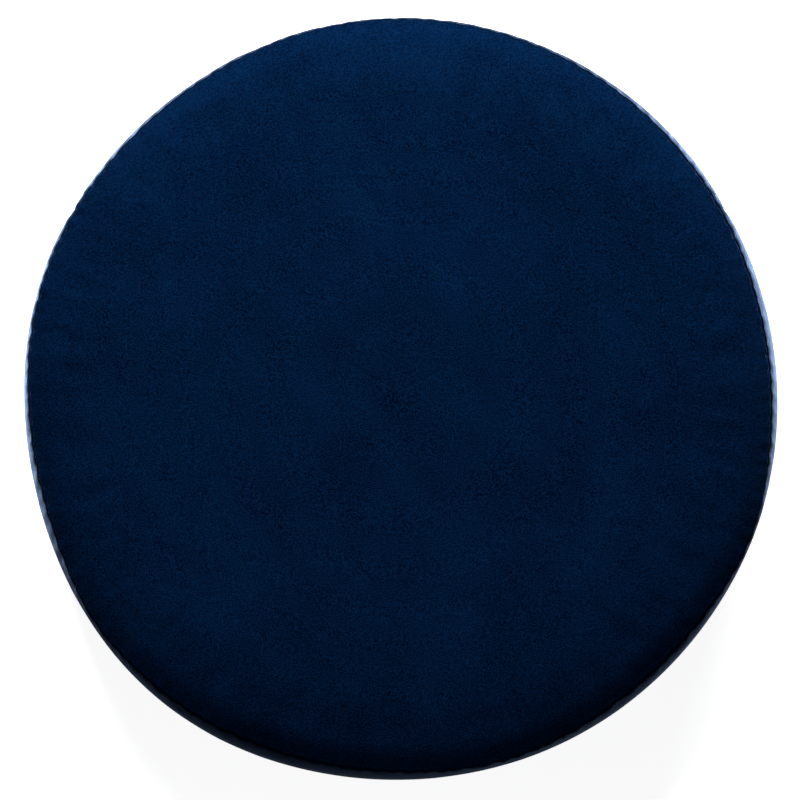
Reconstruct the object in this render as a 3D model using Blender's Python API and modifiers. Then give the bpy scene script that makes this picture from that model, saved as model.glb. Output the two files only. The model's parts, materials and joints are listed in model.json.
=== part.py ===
"""A round, boxed seat cushion with a zipped, removable velvet cover.

All sizes are in metres and +Z is up. The origin is the centre of the base, on the surface that the cushion
lies on. The side band is cut in three: a front band, and at the back (+Y) two narrower bands with the zip
between them. Inside are two layers of foam in a thin sleeve, wrapped in wadding.
"""

import math

import bpy

MM = 0.001

# Driving dimensions of the cushion.
DIAMETER = 400 * MM  # at the middle of the side band
THICKNESS = 80 * MM  # from the base to the top of the crown
BULGE = 3.5 * MM  # the band stands this far out past its seams
FULLNESS = 4  # higher makes the band flatter in its middle
TOP_SEAM = 66 * MM  # heights of the two seams that go all the way round
BASE_SEAM = 12 * MM
CROWN = 6 * MM  # rise of the top panel from its shoulder to its centre
TOP_FLAT_RADIUS = 178.5 * MM  # where the top panel's shoulder begins
BASE_FLAT_RADIUS = 180 * MM  # where the base panel's shoulder begins
VELVET = 1.2 * MM  # thickness of the cover
ALLOWANCE = 8 * MM  # fabric turned in along each seam
SEAM_GAP = 0.3 * MM  # between the two layers of a seam
CLEARANCE = 0.3 * MM  # between any other two pieces that touch

# The zip: its run round the back, its chain and its slider. It lies low in the band, and set into it.
ZIP_HEIGHT = 26 * MM
ZIP_START = 30.0  # degrees from +X, the closed end
ZIP_END = 150.0
SLOT_HALF = 5.2 * MM  # half the gap between the two folded edges
SLOT_DEPTH = 4.65 * MM  # from the band's middle in to the back of the folds
UPPER_RETURN = 7 * MM  # how far each folded edge goes back behind itself
LOWER_RETURN = 4.5 * MM
STITCH_LINE = 3.6 * MM  # from a folded edge to its row of stitches
TAPE = 0.6 * MM
TAPE_EDGE = 1.3 * MM  # from the middle of the zip to the tape's inner edge
TAPE_WIDTH = 9.5 * MM
COIL_RADIUS = 1.1 * MM
COIL_OFFSET = 1.35 * MM  # from the middle of the zip to the middle of a closed coil
COIL_SPREAD = 0.65 * MM  # how much further apart the coils are round the slider's post
STOP_SET_IN = 4.2  # degrees from either end of the slot to its stops, room for the pull to lie
TOP_STOP_LENGTH = 2 * MM
BASE_STOP_LENGTH = 3 * MM
SLIDER_LENGTH = 10.5 * MM
SLIDER_FRONT_HALF = 4.2 * MM  # half widths at the post and at the tail
SLIDER_TAIL_HALF = 3.6 * MM
PLATE = 0.9 * MM
PULL_LENGTH = 20 * MM
PULL_THICKNESS = 1.0 * MM

# The filling.
WADDING_BASE_TOP = 10.8 * MM
SLEEVE = 0.6 * MM
FOAM_RADIUS = 186 * MM
CORE_THICKNESS = 40 * MM
COMFORT_THICKNESS = 14.5 * MM
THREAD_RADIUS = 0.3 * MM

STEP = 6.0  # degrees a facet, the same for every turned piece, so that nested ones stay parallel
SHOULDER_END = math.radians(80)  # how far round its ellipse a shoulder goes
FLAT_TO_ZIP = (90, 0, 90)  # degrees that turn a piece built flat so that its +X runs along the zip and +Z out

# Worked out from those above.
RADIUS = DIAMETER / 2
SEAM_RADIUS = RADIUS - BULGE
BAND_MIDDLE = (TOP_SEAM + BASE_SEAM) / 2
BAND_HALF = (TOP_SEAM - BASE_SEAM) / 2
ALLOWANCE_RADIUS = SEAM_RADIUS - ALLOWANCE
RETURN_RADIUS = RADIUS - SLOT_DEPTH
TAPE_RADIUS = RETURN_RADIUS - 0.25 * MM
COIL_CENTRE = TAPE_RADIUS + 0.2 * MM + COIL_RADIUS
OUTER_PLATE = COIL_CENTRE + COIL_RADIUS + CLEARANCE  # radius of the outer plate's inner face
INNER_PLATE = TAPE_RADIUS - TAPE - 0.5 * MM  # radius of the inner plate's outer face
CHANNEL_RADIUS = INNER_PLATE - PLATE - 0.4 * MM  # the wadding is hollowed to this behind the zip
BAR_REACH = 0.75 * MM  # from the pull's axis to the corners of its bar
PULL_AXIS = OUTER_PLATE + PLATE + 0.2 * MM + BAR_REACH
FOAM_BASE = WADDING_BASE_TOP + CLEARANCE + SLEEVE + CLEARANCE
CORE_TOP = FOAM_BASE + CORE_THICKNESS
COMFORT_TOP = CORE_TOP + CLEARANCE + COMFORT_THICKNESS
SLEEVE_RADIUS = FOAM_RADIUS + CLEARANCE + SLEEVE
SLEEVE_TOP = COMFORT_TOP + CLEARANCE + SLEEVE


def degrees_along(length, radius=COIL_CENTRE):
    """The angle that an arc of this length takes up along the zip."""
    return math.degrees(length / radius)


TOP_STOP_ANGLE = ZIP_START + STOP_SET_IN
COIL_START = TOP_STOP_ANGLE + degrees_along(TOP_STOP_LENGTH / 2 + 0.2 * MM)
SLIDER_REST = COIL_START + degrees_along(0.2 * MM + SLIDER_LENGTH / 2)
BASE_STOP_ANGLE = ZIP_END - STOP_SET_IN
COIL_END = BASE_STOP_ANGLE - degrees_along(BASE_STOP_LENGTH / 2 + 0.2 * MM)


# ---------------------------------------------------------------- scene and materials


def clear_scene():
    for obj in list(bpy.data.objects):
        bpy.data.objects.remove(obj, do_unlink=True)


def new_collection(name):
    collection = bpy.data.collections.new(name)
    bpy.context.scene.collection.children.link(collection)
    return collection


def material(name, colour, roughness, metallic=0.0):
    made = bpy.data.materials.new(name)
    made.use_nodes = True
    shader = made.node_tree.nodes["Principled BSDF"]
    shader.inputs["Base Color"].default_value = (*colour, 1.0)
    shader.inputs["Roughness"].default_value = roughness
    shader.inputs["Metallic"].default_value = metallic
    made.diffuse_color = (*colour, 1.0)
    return made


def add_object(name, data, collection, finish):
    obj = bpy.data.objects.new(name, data)
    collection.objects.link(obj)
    if finish is not None:
        data.materials.append(finish)
    return obj


def empty(name, collection, location, turns=(0, 0, 0), parent=None):
    """A joint's axis, or a frame that pieces are placed from; its turns are in degrees."""
    obj = bpy.data.objects.new(name, None)
    obj.empty_display_size = 10 * MM
    obj.location = location
    obj.rotation_euler = [math.radians(turn) for turn in turns]
    obj.parent = parent
    collection.objects.link(obj)
    return obj


# ---------------------------------------------------------------- shapes


def polar(radius, degrees, height):
    angle = math.radians(degrees)
    return (radius * math.cos(angle), radius * math.sin(angle), height)


def turned(name, profile, finish, collection, start=0.0, sweep=360.0, step=STEP, closed=False):
    """A profile of (radius, height) points, running down its outer side, turned about Z."""
    mesh = bpy.data.meshes.new(name)
    points = [(radius, 0, height) for radius, height in profile]
    edges = [(i, i + 1) for i in range(len(points) - 1)]
    if closed:
        edges.append((len(points) - 1, 0))
    mesh.from_pydata(points, edges, [])
    obj = add_object(name, mesh, collection, finish)
    obj.rotation_euler = (0, 0, math.radians(start))
    screw = obj.modifiers.new("turn", "SCREW")
    screw.axis = "Z"
    screw.angle = math.radians(sweep)
    screw.steps = screw.render_steps = round(sweep / step)
    screw.use_merge_vertices = True
    screw.merge_threshold = 0.00001
    screw.use_smooth_shade = False
    return obj


def turned_shell(name, profile, thickness, finish, collection, **span):
    """A turned face, thickened away from its outer side."""
    obj = turned(name, profile, finish, collection, **span)
    solidify = obj.modifiers.new("thickness", "SOLIDIFY")
    solidify.thickness = thickness
    solidify.offset = -1
    solidify.use_even_offset = True
    return obj


def tube(name, points, radius, finish, collection, closed=False):
    """A round thread or cord through the points."""
    curve = bpy.data.curves.new(name, "CURVE")
    curve.dimensions = "3D"
    curve.bevel_depth = radius
    curve.bevel_resolution = 1
    curve.use_fill_caps = not closed
    spline = curve.splines.new("POLY")
    spline.points.add(len(points) - 1)
    for target, point in zip(spline.points, points):
        target.co = (*point, 1.0)
    spline.use_cyclic_u = closed
    return add_object(name, curve, collection, finish)


def plate(name, outlines, thickness, finish, collection):
    """A flat piece: closed outlines in the XY plane, the first its edge and any other a hole."""
    curve = bpy.data.curves.new(name, "CURVE")
    curve.dimensions = "2D"
    curve.fill_mode = "BOTH"
    curve.extrude = thickness / 2
    for outline in outlines:
        spline = curve.splines.new("POLY")
        spline.points.add(len(outline) - 1)
        for target, point in zip(spline.points, outline):
            target.co = (*point, 0.0, 1.0)
        spline.use_cyclic_u = True
    return add_object(name, curve, collection, finish)


def to_mesh(obj):
    """The curve object as a mesh object in the same place, its caps welded on."""
    bpy.context.view_layer.update()
    graph = bpy.context.evaluated_depsgraph_get()
    mesh = bpy.data.meshes.new_from_object(obj.evaluated_get(graph))
    made = bpy.data.objects.new(obj.name + "_mesh", mesh)
    made.matrix_world = obj.matrix_world
    for collection in obj.users_collection:
        collection.objects.link(made)
    name = obj.name
    bpy.data.objects.remove(obj, do_unlink=True)
    made.name = name
    weld = made.modifiers.new("weld", "WELD")
    weld.merge_threshold = 0.000001
    return made


def block(name, size, location, finish, collection, taper=1.0):
    """A box whose +X end is taper times as wide, in Y, as its -X end."""
    bpy.ops.mesh.primitive_cube_add(size=1)
    obj = bpy.context.object
    obj.name = name
    for old in obj.users_collection:
        old.objects.unlink(obj)
    collection.objects.link(obj)
    for vertex in obj.data.vertices:
        narrow = taper if vertex.co.x > 0 else 1.0
        vertex.co = [vertex.co[i] * size[i] + location[i] for i in range(3)]
        vertex.co.y = location[1] + (vertex.co.y - location[1]) * narrow
    if finish is not None:
        obj.data.materials.append(finish)
    return obj


def bevel(obj, width, segments=1):
    modifier = obj.modifiers.new("rounding", "BEVEL")
    modifier.width = width
    modifier.segments = segments
    modifier.limit_method = "ANGLE"
    return modifier


def boolean(obj, other, operation):
    modifier = obj.modifiers.new(operation.lower(), "BOOLEAN")
    modifier.operation = operation
    modifier.object = other
    modifier.solver = "EXACT"


def as_helper(obj):
    obj.hide_render = True
    obj.display_type = "WIRE"
    return obj


# ---------------------------------------------------------------- the cushion's outline


def band_radius(height):
    """The band's face, bulging between its two seams."""
    return RADIUS - BULGE * ((height - BAND_MIDDLE) / BAND_HALF) ** FULLNESS


def band_face(top, bottom, count):
    """Points down the band's face, from one height to another."""
    heights = [top + (bottom - top) * i / (count - 1) for i in range(count)]
    return [(band_radius(height), height) for height in heights]


def crown_height(radius):
    return THICKNESS - CROWN * (radius / TOP_FLAT_RADIUS) ** 2


def shoulder(flat_radius, flat_height, seam_height, count=4):
    """Points from the edge of a panel's flat to its seam, round part of an ellipse."""
    width = (SEAM_RADIUS - flat_radius) / math.sin(SHOULDER_END)
    rise = (flat_height - seam_height) / (1 - math.cos(SHOULDER_END))
    points = []
    for i in range(count):
        angle = SHOULDER_END * i / (count - 1)
        radius = flat_radius + width * math.sin(angle)
        points.append((radius, flat_height - rise * (1 - math.cos(angle))))
    return points


# ---------------------------------------------------------------- cover


def make_top_panel(velvet, parts):
    seam = TOP_SEAM + SEAM_GAP / 2
    crown = [(radius, crown_height(radius)) for radius in (0.0, 60 * MM, 120 * MM)]
    edge = shoulder(TOP_FLAT_RADIUS, crown_height(TOP_FLAT_RADIUS), seam)
    profile = crown + edge + [(ALLOWANCE_RADIUS, seam)]
    turned_shell("top_panel", profile, VELVET, velvet, parts)


def make_base_panel(canvas, parts):
    seam = BASE_SEAM - SEAM_GAP / 2
    edge = shoulder(BASE_FLAT_RADIUS, 0.0, seam)[::-1]
    profile = [(ALLOWANCE_RADIUS, seam)] + edge + [(0.0, 0.0)]
    turned_shell("base_panel", profile, VELVET, canvas, parts)


def band_ends():
    """The turned-in edges of a band, at its top and base seams."""
    top = (ALLOWANCE_RADIUS, TOP_SEAM - SEAM_GAP / 2)
    base = (ALLOWANCE_RADIUS, BASE_SEAM + SEAM_GAP / 2)
    return top, base


def make_front_band(velvet, parts):
    top, base = band_ends()
    profile = [top] + band_face(top[1], base[1], 9) + [base]
    gap = degrees_along(SEAM_GAP / 2, RADIUS)
    sweep = 360 - (ZIP_END - ZIP_START) - 2 * gap
    turned_shell("front_band", profile, VELVET, velvet, parts, start=ZIP_END + gap, sweep=sweep)


def fold(side, back):
    """The folded edge beside the zip, from the band's face round and back; side is 1 above the zip."""
    edge = ZIP_HEIGHT + side * SLOT_HALF
    radius = (band_radius(edge) - RETURN_RADIUS) / 2
    points = []
    for i in range(5):
        angle = math.radians(45 * i)
        across = RETURN_RADIUS + radius * (1 + math.cos(angle))
        points.append((across, edge + side * radius * (1 - math.sin(angle))))
    points.append((RETURN_RADIUS, edge + side * back))
    return points


def make_zip_bands(velvet, parts):
    top, base = band_ends()
    gap = degrees_along(SEAM_GAP / 2, RADIUS)
    span = {"start": ZIP_START + gap, "sweep": ZIP_END - ZIP_START - 2 * gap}
    above, below = fold(1, UPPER_RETURN), fold(-1, LOWER_RETURN)
    upper = [top] + band_face(top[1], above[0][1], 6)[:-1] + above
    lower = below[::-1] + band_face(below[0][1], base[1], 4)[1:] + [base]
    turned_shell("zip_band_upper", upper, VELVET, velvet, parts, **span)
    turned_shell("zip_band_lower", lower, VELVET, velvet, parts, **span)


def make_seam_threads(thread, parts):
    """The lockstitch that holds each seam's two layers, lying on the inner side of the panel's layer."""
    radius = SEAM_RADIUS - 5 * MM
    stand_off = SEAM_GAP / 2 + VELVET + CLEARANCE + THREAD_RADIUS
    heights = {"top_seam_thread": TOP_SEAM + stand_off, "base_seam_thread": BASE_SEAM - stand_off}
    for name, height in heights.items():
        ring = [polar(radius, STEP * i, height) for i in range(round(360 / STEP))]
        tube(name, ring, THREAD_RADIUS, thread, parts, closed=True)


def make_band_join_threads(thread, parts):
    """The stitching of the two upright seams, where the front band meets the zip bands."""
    radius = CHANNEL_RADIUS + CLEARANCE + THREAD_RADIUS
    low, high = BASE_SEAM + 5 * MM, TOP_SEAM - 5 * MM
    places = {"band_join_thread_right": ZIP_START - 0.6, "band_join_thread_left": ZIP_END + 0.6}
    for name, angle in places.items():
        line = [polar(radius, angle, low + (high - low) * i / 3) for i in range(4)]
        tube(name, line, THREAD_RADIUS, thread, parts)


def make_care_label(ribbon, parts):
    """A blank ribbon tag, caught in the upright seam at the zip's far end."""
    stand_off = CLEARANCE + 0.4 * MM
    profile = [(radius + stand_off, height) for radius, height in band_face(31 * MM, 17 * MM, 3)]
    turned_shell(
        "care_label", profile, 0.4 * MM, ribbon, parts, start=ZIP_END + 0.2, sweep=8, step=2
    )


# ---------------------------------------------------------------- zip


def make_zip_tapes(woven, parts):
    gap = degrees_along(SEAM_GAP / 2, RADIUS)
    span = {"start": ZIP_START + gap, "sweep": ZIP_END - ZIP_START - 2 * gap}
    for name, side in (("zip_tape_upper", 1), ("zip_tape_lower", -1)):
        near = ZIP_HEIGHT + side * TAPE_EDGE
        far = near + side * TAPE_WIDTH
        profile = [(TAPE_RADIUS, max(near, far)), (TAPE_RADIUS, min(near, far))]
        turned_shell(name, profile, TAPE, woven, parts, **span)


def coil_height(angle, side):
    """The coils lie side by side, and part round the post of the slider where it rests."""
    post_end = SLIDER_REST - degrees_along(SLIDER_LENGTH / 2 - 3.4 * MM)
    merge_end = SLIDER_REST + degrees_along(2 * MM)
    share = min(1.0, max(0.0, (merge_end - angle) / (merge_end - post_end)))
    return ZIP_HEIGHT + side * (COIL_OFFSET + COIL_SPREAD * share)


def make_zip_coils(nylon, parts):
    """Each coil is drawn as one cord of its outer size."""
    parted = [COIL_START + 0.6 * i for i in range(5)]
    steps = round((COIL_END - parted[-1]) / 3)
    closed = [parted[-1] + (COIL_END - parted[-1]) * i / steps for i in range(1, steps + 1)]
    angles = parted + closed
    for name, side in (("zip_coil_upper", 1), ("zip_coil_lower", -1)):
        path = [polar(COIL_CENTRE, angle, coil_height(angle, side)) for angle in angles]
        tube(name, path, COIL_RADIUS, nylon, parts)


def make_zip_topstitching(thread, parts):
    """The row of stitches that shows beside each folded edge."""
    gap = 0.5
    count = round((ZIP_END - ZIP_START) / STEP)
    angles = [ZIP_START + STEP * i for i in range(count + 1)]
    angles[0] += gap
    angles[-1] -= gap
    for name, side in (("zip_topstitch_upper", 1), ("zip_topstitch_lower", -1)):
        height = ZIP_HEIGHT + side * (SLOT_HALF + STITCH_LINE)
        radius = band_radius(height) + 0.15 * MM + THREAD_RADIUS
        path = [polar(radius, angle, height) for angle in angles]
        tube(name, path, THREAD_RADIUS, thread, parts)


def make_zip_stops(metal, parts):
    """A crimp on each coil at the closed end, and one across both at the other."""
    depth = 2 * COIL_RADIUS
    apart = COIL_OFFSET + COIL_SPREAD
    stops = (
        ("zip_top_stop_upper", TOP_STOP_ANGLE, TOP_STOP_LENGTH, 2.3 * MM, apart),
        ("zip_top_stop_lower", TOP_STOP_ANGLE, TOP_STOP_LENGTH, 2.3 * MM, -apart),
        ("zip_base_stop", BASE_STOP_ANGLE, BASE_STOP_LENGTH, 5.4 * MM, 0.0),
    )
    for name, angle, length, height, offset in stops:
        stop = block(name, (depth, length, height), (0, 0, 0), metal, parts)
        stop.location = polar(COIL_CENTRE, angle, ZIP_HEIGHT + offset)
        stop.rotation_euler = (0, 0, math.radians(angle))
        bevel(stop, 0.4 * MM)


def slider_plate(name, outer_radius, metal, collection):
    """One of the slider's two plates, narrower at its tail."""
    size = (SLIDER_LENGTH, 2 * SLIDER_FRONT_HALF, PLATE)
    taper = SLIDER_TAIL_HALF / SLIDER_FRONT_HALF
    made = block(name, size, (0, 0, outer_radius - PLATE / 2), metal, collection, taper)
    bevel(made, 0.25 * MM)
    return made


def slider_lip(name, side, collection):
    """The wall along one side of the slider, short of the tape."""
    low = TAPE_RADIUS + 0.35 * MM
    high = OUTER_PLATE + PLATE / 2
    wall = 0.7 * MM
    lip = block(name, (SLIDER_LENGTH - 0.6 * MM, wall, high - low), (0, 0, 0), None, collection)
    lean = (SLIDER_TAIL_HALF - SLIDER_FRONT_HALF) / SLIDER_LENGTH
    for vertex in lip.data.vertices:
        middle = (SLIDER_FRONT_HALF + SLIDER_TAIL_HALF) / 2 - 0.1 * MM - wall / 2
        vertex.co.y += side * (middle + vertex.co.x * lean)
        vertex.co.z += (low + high) / 2
    return as_helper(lip)


def slider_post(name, collection):
    """The wedge between the two coils, which joins the plates."""
    low, high = INNER_PLATE - PLATE / 2, OUTER_PLATE + PLATE / 2
    length, width = 3 * MM, 1.4 * MM
    place = (-SLIDER_LENGTH / 2 + 0.3 * MM + length / 2, 0, (low + high) / 2)
    return as_helper(block(name, (length, width, high - low), place, None, collection, 0.5))


def slider_bridge(name, collection):
    """The arch over the outer plate that the pull hangs on."""
    foot = OUTER_PLATE + PLATE / 2
    inner_top = PULL_AXIS + BAR_REACH + 0.25 * MM
    inner_half, strap = 2.1 * MM, 0.8 * MM
    corner = 0.7 * MM
    outline = []
    for half, top in ((inner_half + strap, inner_top + strap), (-inner_half, inner_top)):
        outline += [(half, foot), (half, top - corner)]
        outline += [(half - math.copysign(corner, half), top)]
        outline += [(-half + math.copysign(corner, half), top)]
        outline += [(-half, top - corner), (-half, foot)]
    arch = plate(name, [outline], 1.5 * MM, None, collection)
    arch.rotation_euler = (math.pi / 2, 0, 0)
    return as_helper(to_mesh(arch))


def make_zip_slider(metal, parts, helpers):
    """Built flat, with +X towards its tail and +Z outward, in a frame that hangs on the joint's axis."""
    axis = empty("zip_travel_axis", parts, (0, 0, ZIP_HEIGHT), (0, 0, SLIDER_REST))
    flat = empty("zip_slider_frame", parts, (0, 0, 0), FLAT_TO_ZIP, axis)
    slider = slider_plate("zip_slider", OUTER_PLATE + PLATE, metal, parts)
    others = [
        as_helper(slider_plate("slider_inner_plate", INNER_PLATE, None, helpers)),
        slider_lip("slider_lip_upper", 1, helpers),
        slider_lip("slider_lip_lower", -1, helpers),
        slider_post("slider_post", helpers),
        slider_bridge("slider_bridge", helpers),
    ]
    for piece in others:
        piece.parent = flat
        boolean(slider, piece, "UNION")
    slider.parent = flat
    return axis


def pull_outline():
    """A narrow neck that widens to a round end; the bar that goes under the bridge is at its start."""
    start, neck, end = -BAR_REACH * 0.7, 2.7 * MM, 3.6 * MM
    round_centre = PULL_LENGTH - end
    tip = []
    for i in range(9):
        angle = math.radians(-90 + 22.5 * i)
        tip.append((round_centre + end * math.cos(angle), end * math.sin(angle)))
    waist = 6.5 * MM
    return [(start, -neck), (waist, -neck)] + tip + [(waist, neck), (start, neck)]


def make_zip_pull(metal, parts, travel_axis):
    hole_start, hole_end, hole_half = BAR_REACH * 0.7, 5.6 * MM, 1.3 * MM
    hole = [
        (hole_start, -hole_half),
        (hole_start, hole_half),
        (hole_end, hole_half),
        (hole_end, -hole_half),
    ]
    axis = empty("zip_pull_axis", parts, (PULL_AXIS, 0, 0), FLAT_TO_ZIP, travel_axis)
    pull = to_mesh(plate("zip_pull_tab", [pull_outline(), hole], PULL_THICKNESS, metal, parts))
    bevel(pull, 0.2 * MM)
    pull.parent = axis


# ---------------------------------------------------------------- filling


def make_foam(core_foam, comfort, parts):
    corner = 4 * MM
    layers = (
        ("foam_core", core_foam, FOAM_BASE, CORE_TOP),
        ("comfort_foam", comfort, CORE_TOP + CLEARANCE, COMFORT_TOP),
    )
    for name, finish, low, high in layers:
        top_corner = corner if name == "comfort_foam" else 0.5 * MM
        low_corner = corner if name == "foam_core" else 0.5 * MM
        profile = [
            (0.0, high),
            (FOAM_RADIUS - top_corner, high),
            (FOAM_RADIUS, high - top_corner),
            (FOAM_RADIUS, low + low_corner),
            (FOAM_RADIUS - low_corner, low),
            (0.0, low),
        ]
        turned(name, profile, finish, parts)


def make_inner_sleeve(jersey, parts):
    """A thin knitted sleeve that holds the two foams together: a cap, and a disc that closes it."""
    corner = 3 * MM
    cap = [
        (0.0, SLEEVE_TOP),
        (SLEEVE_RADIUS - corner, SLEEVE_TOP),
        (SLEEVE_RADIUS, SLEEVE_TOP - corner),
        (SLEEVE_RADIUS, FOAM_BASE),
    ]
    turned_shell("inner_sleeve_cap", cap, SLEEVE, jersey, parts)
    high = FOAM_BASE - CLEARANCE
    disc = [(0.0, high), (SLEEVE_RADIUS, high), (SLEEVE_RADIUS, high - SLEEVE), (0.0, high - SLEEVE)]
    turned("inner_sleeve_base", disc, jersey, parts)


def make_wadding(fibre, parts, helpers):
    under = VELVET + CLEARANCE
    low = SLEEVE_TOP + CLEARANCE
    edge = 190.5 * MM
    top = [(radius, crown_height(radius) - under) for radius in (0.0, 120 * MM, TOP_FLAT_RADIUS)]
    top += [(edge, low + 1.7 * MM), (edge, low), (0.0, low)]
    turned("wadding_top", top, fibre, parts)

    over = VELVET + CLEARANCE
    edge = SLEEVE_RADIUS
    base = [
        (0.0, WADDING_BASE_TOP),
        (edge, WADDING_BASE_TOP),
        (edge, over + 2 * MM),
        (BASE_FLAT_RADIUS - 2 * MM, over),
        (0.0, over),
    ]
    turned("wadding_base", base, fibre, parts)

    inner = SLEEVE_RADIUS + CLEARANCE
    clear = SEAM_GAP / 2 + VELVET + CLEARANCE
    high, low = TOP_SEAM - clear, BASE_SEAM + clear
    face = [(radius - under, height) for radius, height in band_face(high, low, 5)]
    side = [(inner, high)] + face + [(inner, low)]
    wadding = turned("wadding_side", side, fibre, parts, closed=True)
    boolean(wadding, make_zip_channel(helpers), "DIFFERENCE")


def make_zip_channel(helpers):
    """What the wadding gives way to behind the zip."""
    overlap = 10 * MM
    face = [(RADIUS + overlap, TOP_SEAM + overlap), (RADIUS + overlap, BASE_SEAM - overlap)]
    depth = RADIUS + overlap - CHANNEL_RADIUS
    start, sweep = ZIP_START - STEP, ZIP_END - ZIP_START + 2 * STEP
    channel = turned_shell("zip_channel", face, depth, None, helpers, start=start, sweep=sweep)
    return as_helper(channel)


# ---------------------------------------------------------------- the whole cushion


def main():
    clear_scene()
    parts = new_collection("seat_cushion")
    helpers = new_collection("cutters")

    velvet = material("navy_velvet", (0.004, 0.018, 0.065), 0.9)
    canvas = material("grip_canvas", (0.012, 0.013, 0.016), 0.85)
    thread = material("navy_thread", (0.003, 0.008, 0.03), 0.6)
    woven = material("navy_tape", (0.005, 0.012, 0.04), 0.8)
    nylon = material("navy_nylon", (0.006, 0.014, 0.05), 0.35)
    metal = material("nickel", (0.66, 0.64, 0.61), 0.25, 1.0)
    ribbon = material("white_ribbon", (0.8, 0.8, 0.78), 0.5)
    fibre = material("white_wadding", (0.85, 0.86, 0.86), 0.95)
    jersey = material("grey_jersey", (0.55, 0.56, 0.58), 0.9)
    core_foam = material("grey_foam", (0.30, 0.31, 0.33), 0.9)
    comfort = material("cream_foam", (0.80, 0.74, 0.60), 0.9)

    make_top_panel(velvet, parts)
    make_front_band(velvet, parts)
    make_zip_bands(velvet, parts)
    make_base_panel(canvas, parts)
    make_seam_threads(thread, parts)
    make_band_join_threads(thread, parts)
    make_care_label(ribbon, parts)

    make_zip_tapes(woven, parts)
    make_zip_coils(nylon, parts)
    make_zip_topstitching(thread, parts)
    make_zip_stops(metal, parts)
    travel_axis = make_zip_slider(metal, parts, helpers)
    make_zip_pull(metal, parts, travel_axis)

    make_foam(core_foam, comfort, parts)
    make_inner_sleeve(jersey, parts)
    make_wadding(fibre, parts, helpers)


main()
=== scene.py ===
"""The looks of a round boxed seat cushion in navy velvet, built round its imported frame.

The velvet cover is drafted as rings of points, filled out by a cloth simulation with pressure inside, and
then cut into its panels, with the seam allowances and the folded edges beside the zip turned in. The zip,
the stitching, the label, the base cloth's grip dots and the filling are modelled one by one after that.
Sizes are in metres, and angles run anticlockwise seen from above, from the cushion's right-hand side.
"""

import json
import math
import random

import bmesh
import bpy
import numpy as np
from mathutils import Matrix, Vector


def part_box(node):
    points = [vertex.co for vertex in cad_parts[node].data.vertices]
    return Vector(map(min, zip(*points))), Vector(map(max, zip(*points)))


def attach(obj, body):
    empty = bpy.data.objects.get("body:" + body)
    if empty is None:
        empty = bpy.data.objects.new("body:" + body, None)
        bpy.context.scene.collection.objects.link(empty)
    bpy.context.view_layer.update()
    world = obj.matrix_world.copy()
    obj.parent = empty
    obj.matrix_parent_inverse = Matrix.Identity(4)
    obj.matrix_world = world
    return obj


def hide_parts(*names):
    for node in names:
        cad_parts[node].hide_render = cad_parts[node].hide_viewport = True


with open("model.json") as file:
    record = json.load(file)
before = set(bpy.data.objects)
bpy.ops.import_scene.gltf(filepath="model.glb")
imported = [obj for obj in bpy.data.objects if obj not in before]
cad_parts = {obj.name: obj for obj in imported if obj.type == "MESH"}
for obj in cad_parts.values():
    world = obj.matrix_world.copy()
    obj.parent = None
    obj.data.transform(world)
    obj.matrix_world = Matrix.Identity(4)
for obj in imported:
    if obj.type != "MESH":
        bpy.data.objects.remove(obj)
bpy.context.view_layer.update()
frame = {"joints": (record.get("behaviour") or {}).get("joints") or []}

MM = 0.001

# Taken from the frame.
BAND_LOW, BAND_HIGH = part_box("front_band")
JOINTS = {joint["name"]: joint for joint in frame["joints"]}
RADIUS = BAND_HIGH.x
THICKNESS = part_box("top_panel")[1].z
TOP_SEAM = BAND_HIGH.z
BASE_SEAM = BAND_LOW.z
ZIP_HEIGHT = JOINTS["zip_travel"]["pos_m"][2]
PULL_X, PULL_Y, _ = JOINTS["pull_flip"]["pos_m"]
PULL_RADIUS = math.hypot(PULL_X, PULL_Y)
SLIDER_ANGLE = math.atan2(PULL_Y, PULL_X)
TAPE_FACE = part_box("zip_tape_upper")[1].y

# The cover.
ZIP_START = math.radians(30)
ZIP_END = math.radians(150)
COLUMNS = 480
TOP_SET_IN = 2.2 * MM  # how far inside the band's middle the top seam lies
BASE_SET_IN = 3.0 * MM
LEAST_SET_IN = -0.5 * MM
CROWN = 5.0 * MM
SHOULDER_WIDTH = 17 * MM
BASE_SHOULDER_WIDTH = 15 * MM
VELVET = 1.1 * MM
GROOVE_DEPTH = 1.2 * MM
GROOVE_WIDTH = 1.1 * MM
UPRIGHT_GROOVE = 0.2  # how deep the two upright seams are beside that
SHOULDER_START = math.radians(4)  # how steep a panel is where its shoulder begins
SHOULDER_TURN = math.radians(52)  # and where it meets its seam
FULLNESS = 3.0  # higher makes the band flatter in its middle
ROUNDNESS = 0.62  # lower makes the band swell out more suddenly beside its seams
LAYER_GAP = 0.12 * MM
SLOT_HALF = 5.2 * MM
STITCH_LINE = 3.6 * MM  # from a folded edge to its row of stitches
STITCH_PITCH = 3.4 * MM
UPPER_RETURN = 7 * MM  # how far each folded edge goes back behind itself
LOWER_RETURN = 4.5 * MM
RETURN_RADIUS = TAPE_FACE + 0.25 * MM
BASE_LIFT = 0.5 * MM  # the base cloth stands on its grip dots
SIMULATED_FRAMES = 20
MOST_GIVE = 1.6 * MM  # the filled cover leaves its draft by no more than about this
TOP_SEAM_MATT_AND_SHADE = 0.9 * MM, 0.3 * MM  # how far from a seam its pressed pile and painted shade begin to show, and show fully
BASE_SEAM_MATT_AND_SHADE = 0.8 * MM, 0.25 * MM
ALLOWANCE = ((1.2 * MM, 0.0), (3 * MM, 0.1 * MM), (6 * MM, 0.2 * MM), (8 * MM, 0.2 * MM))  # inward, away
FOLD_STEPS = 8  # rows round a folded edge

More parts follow.
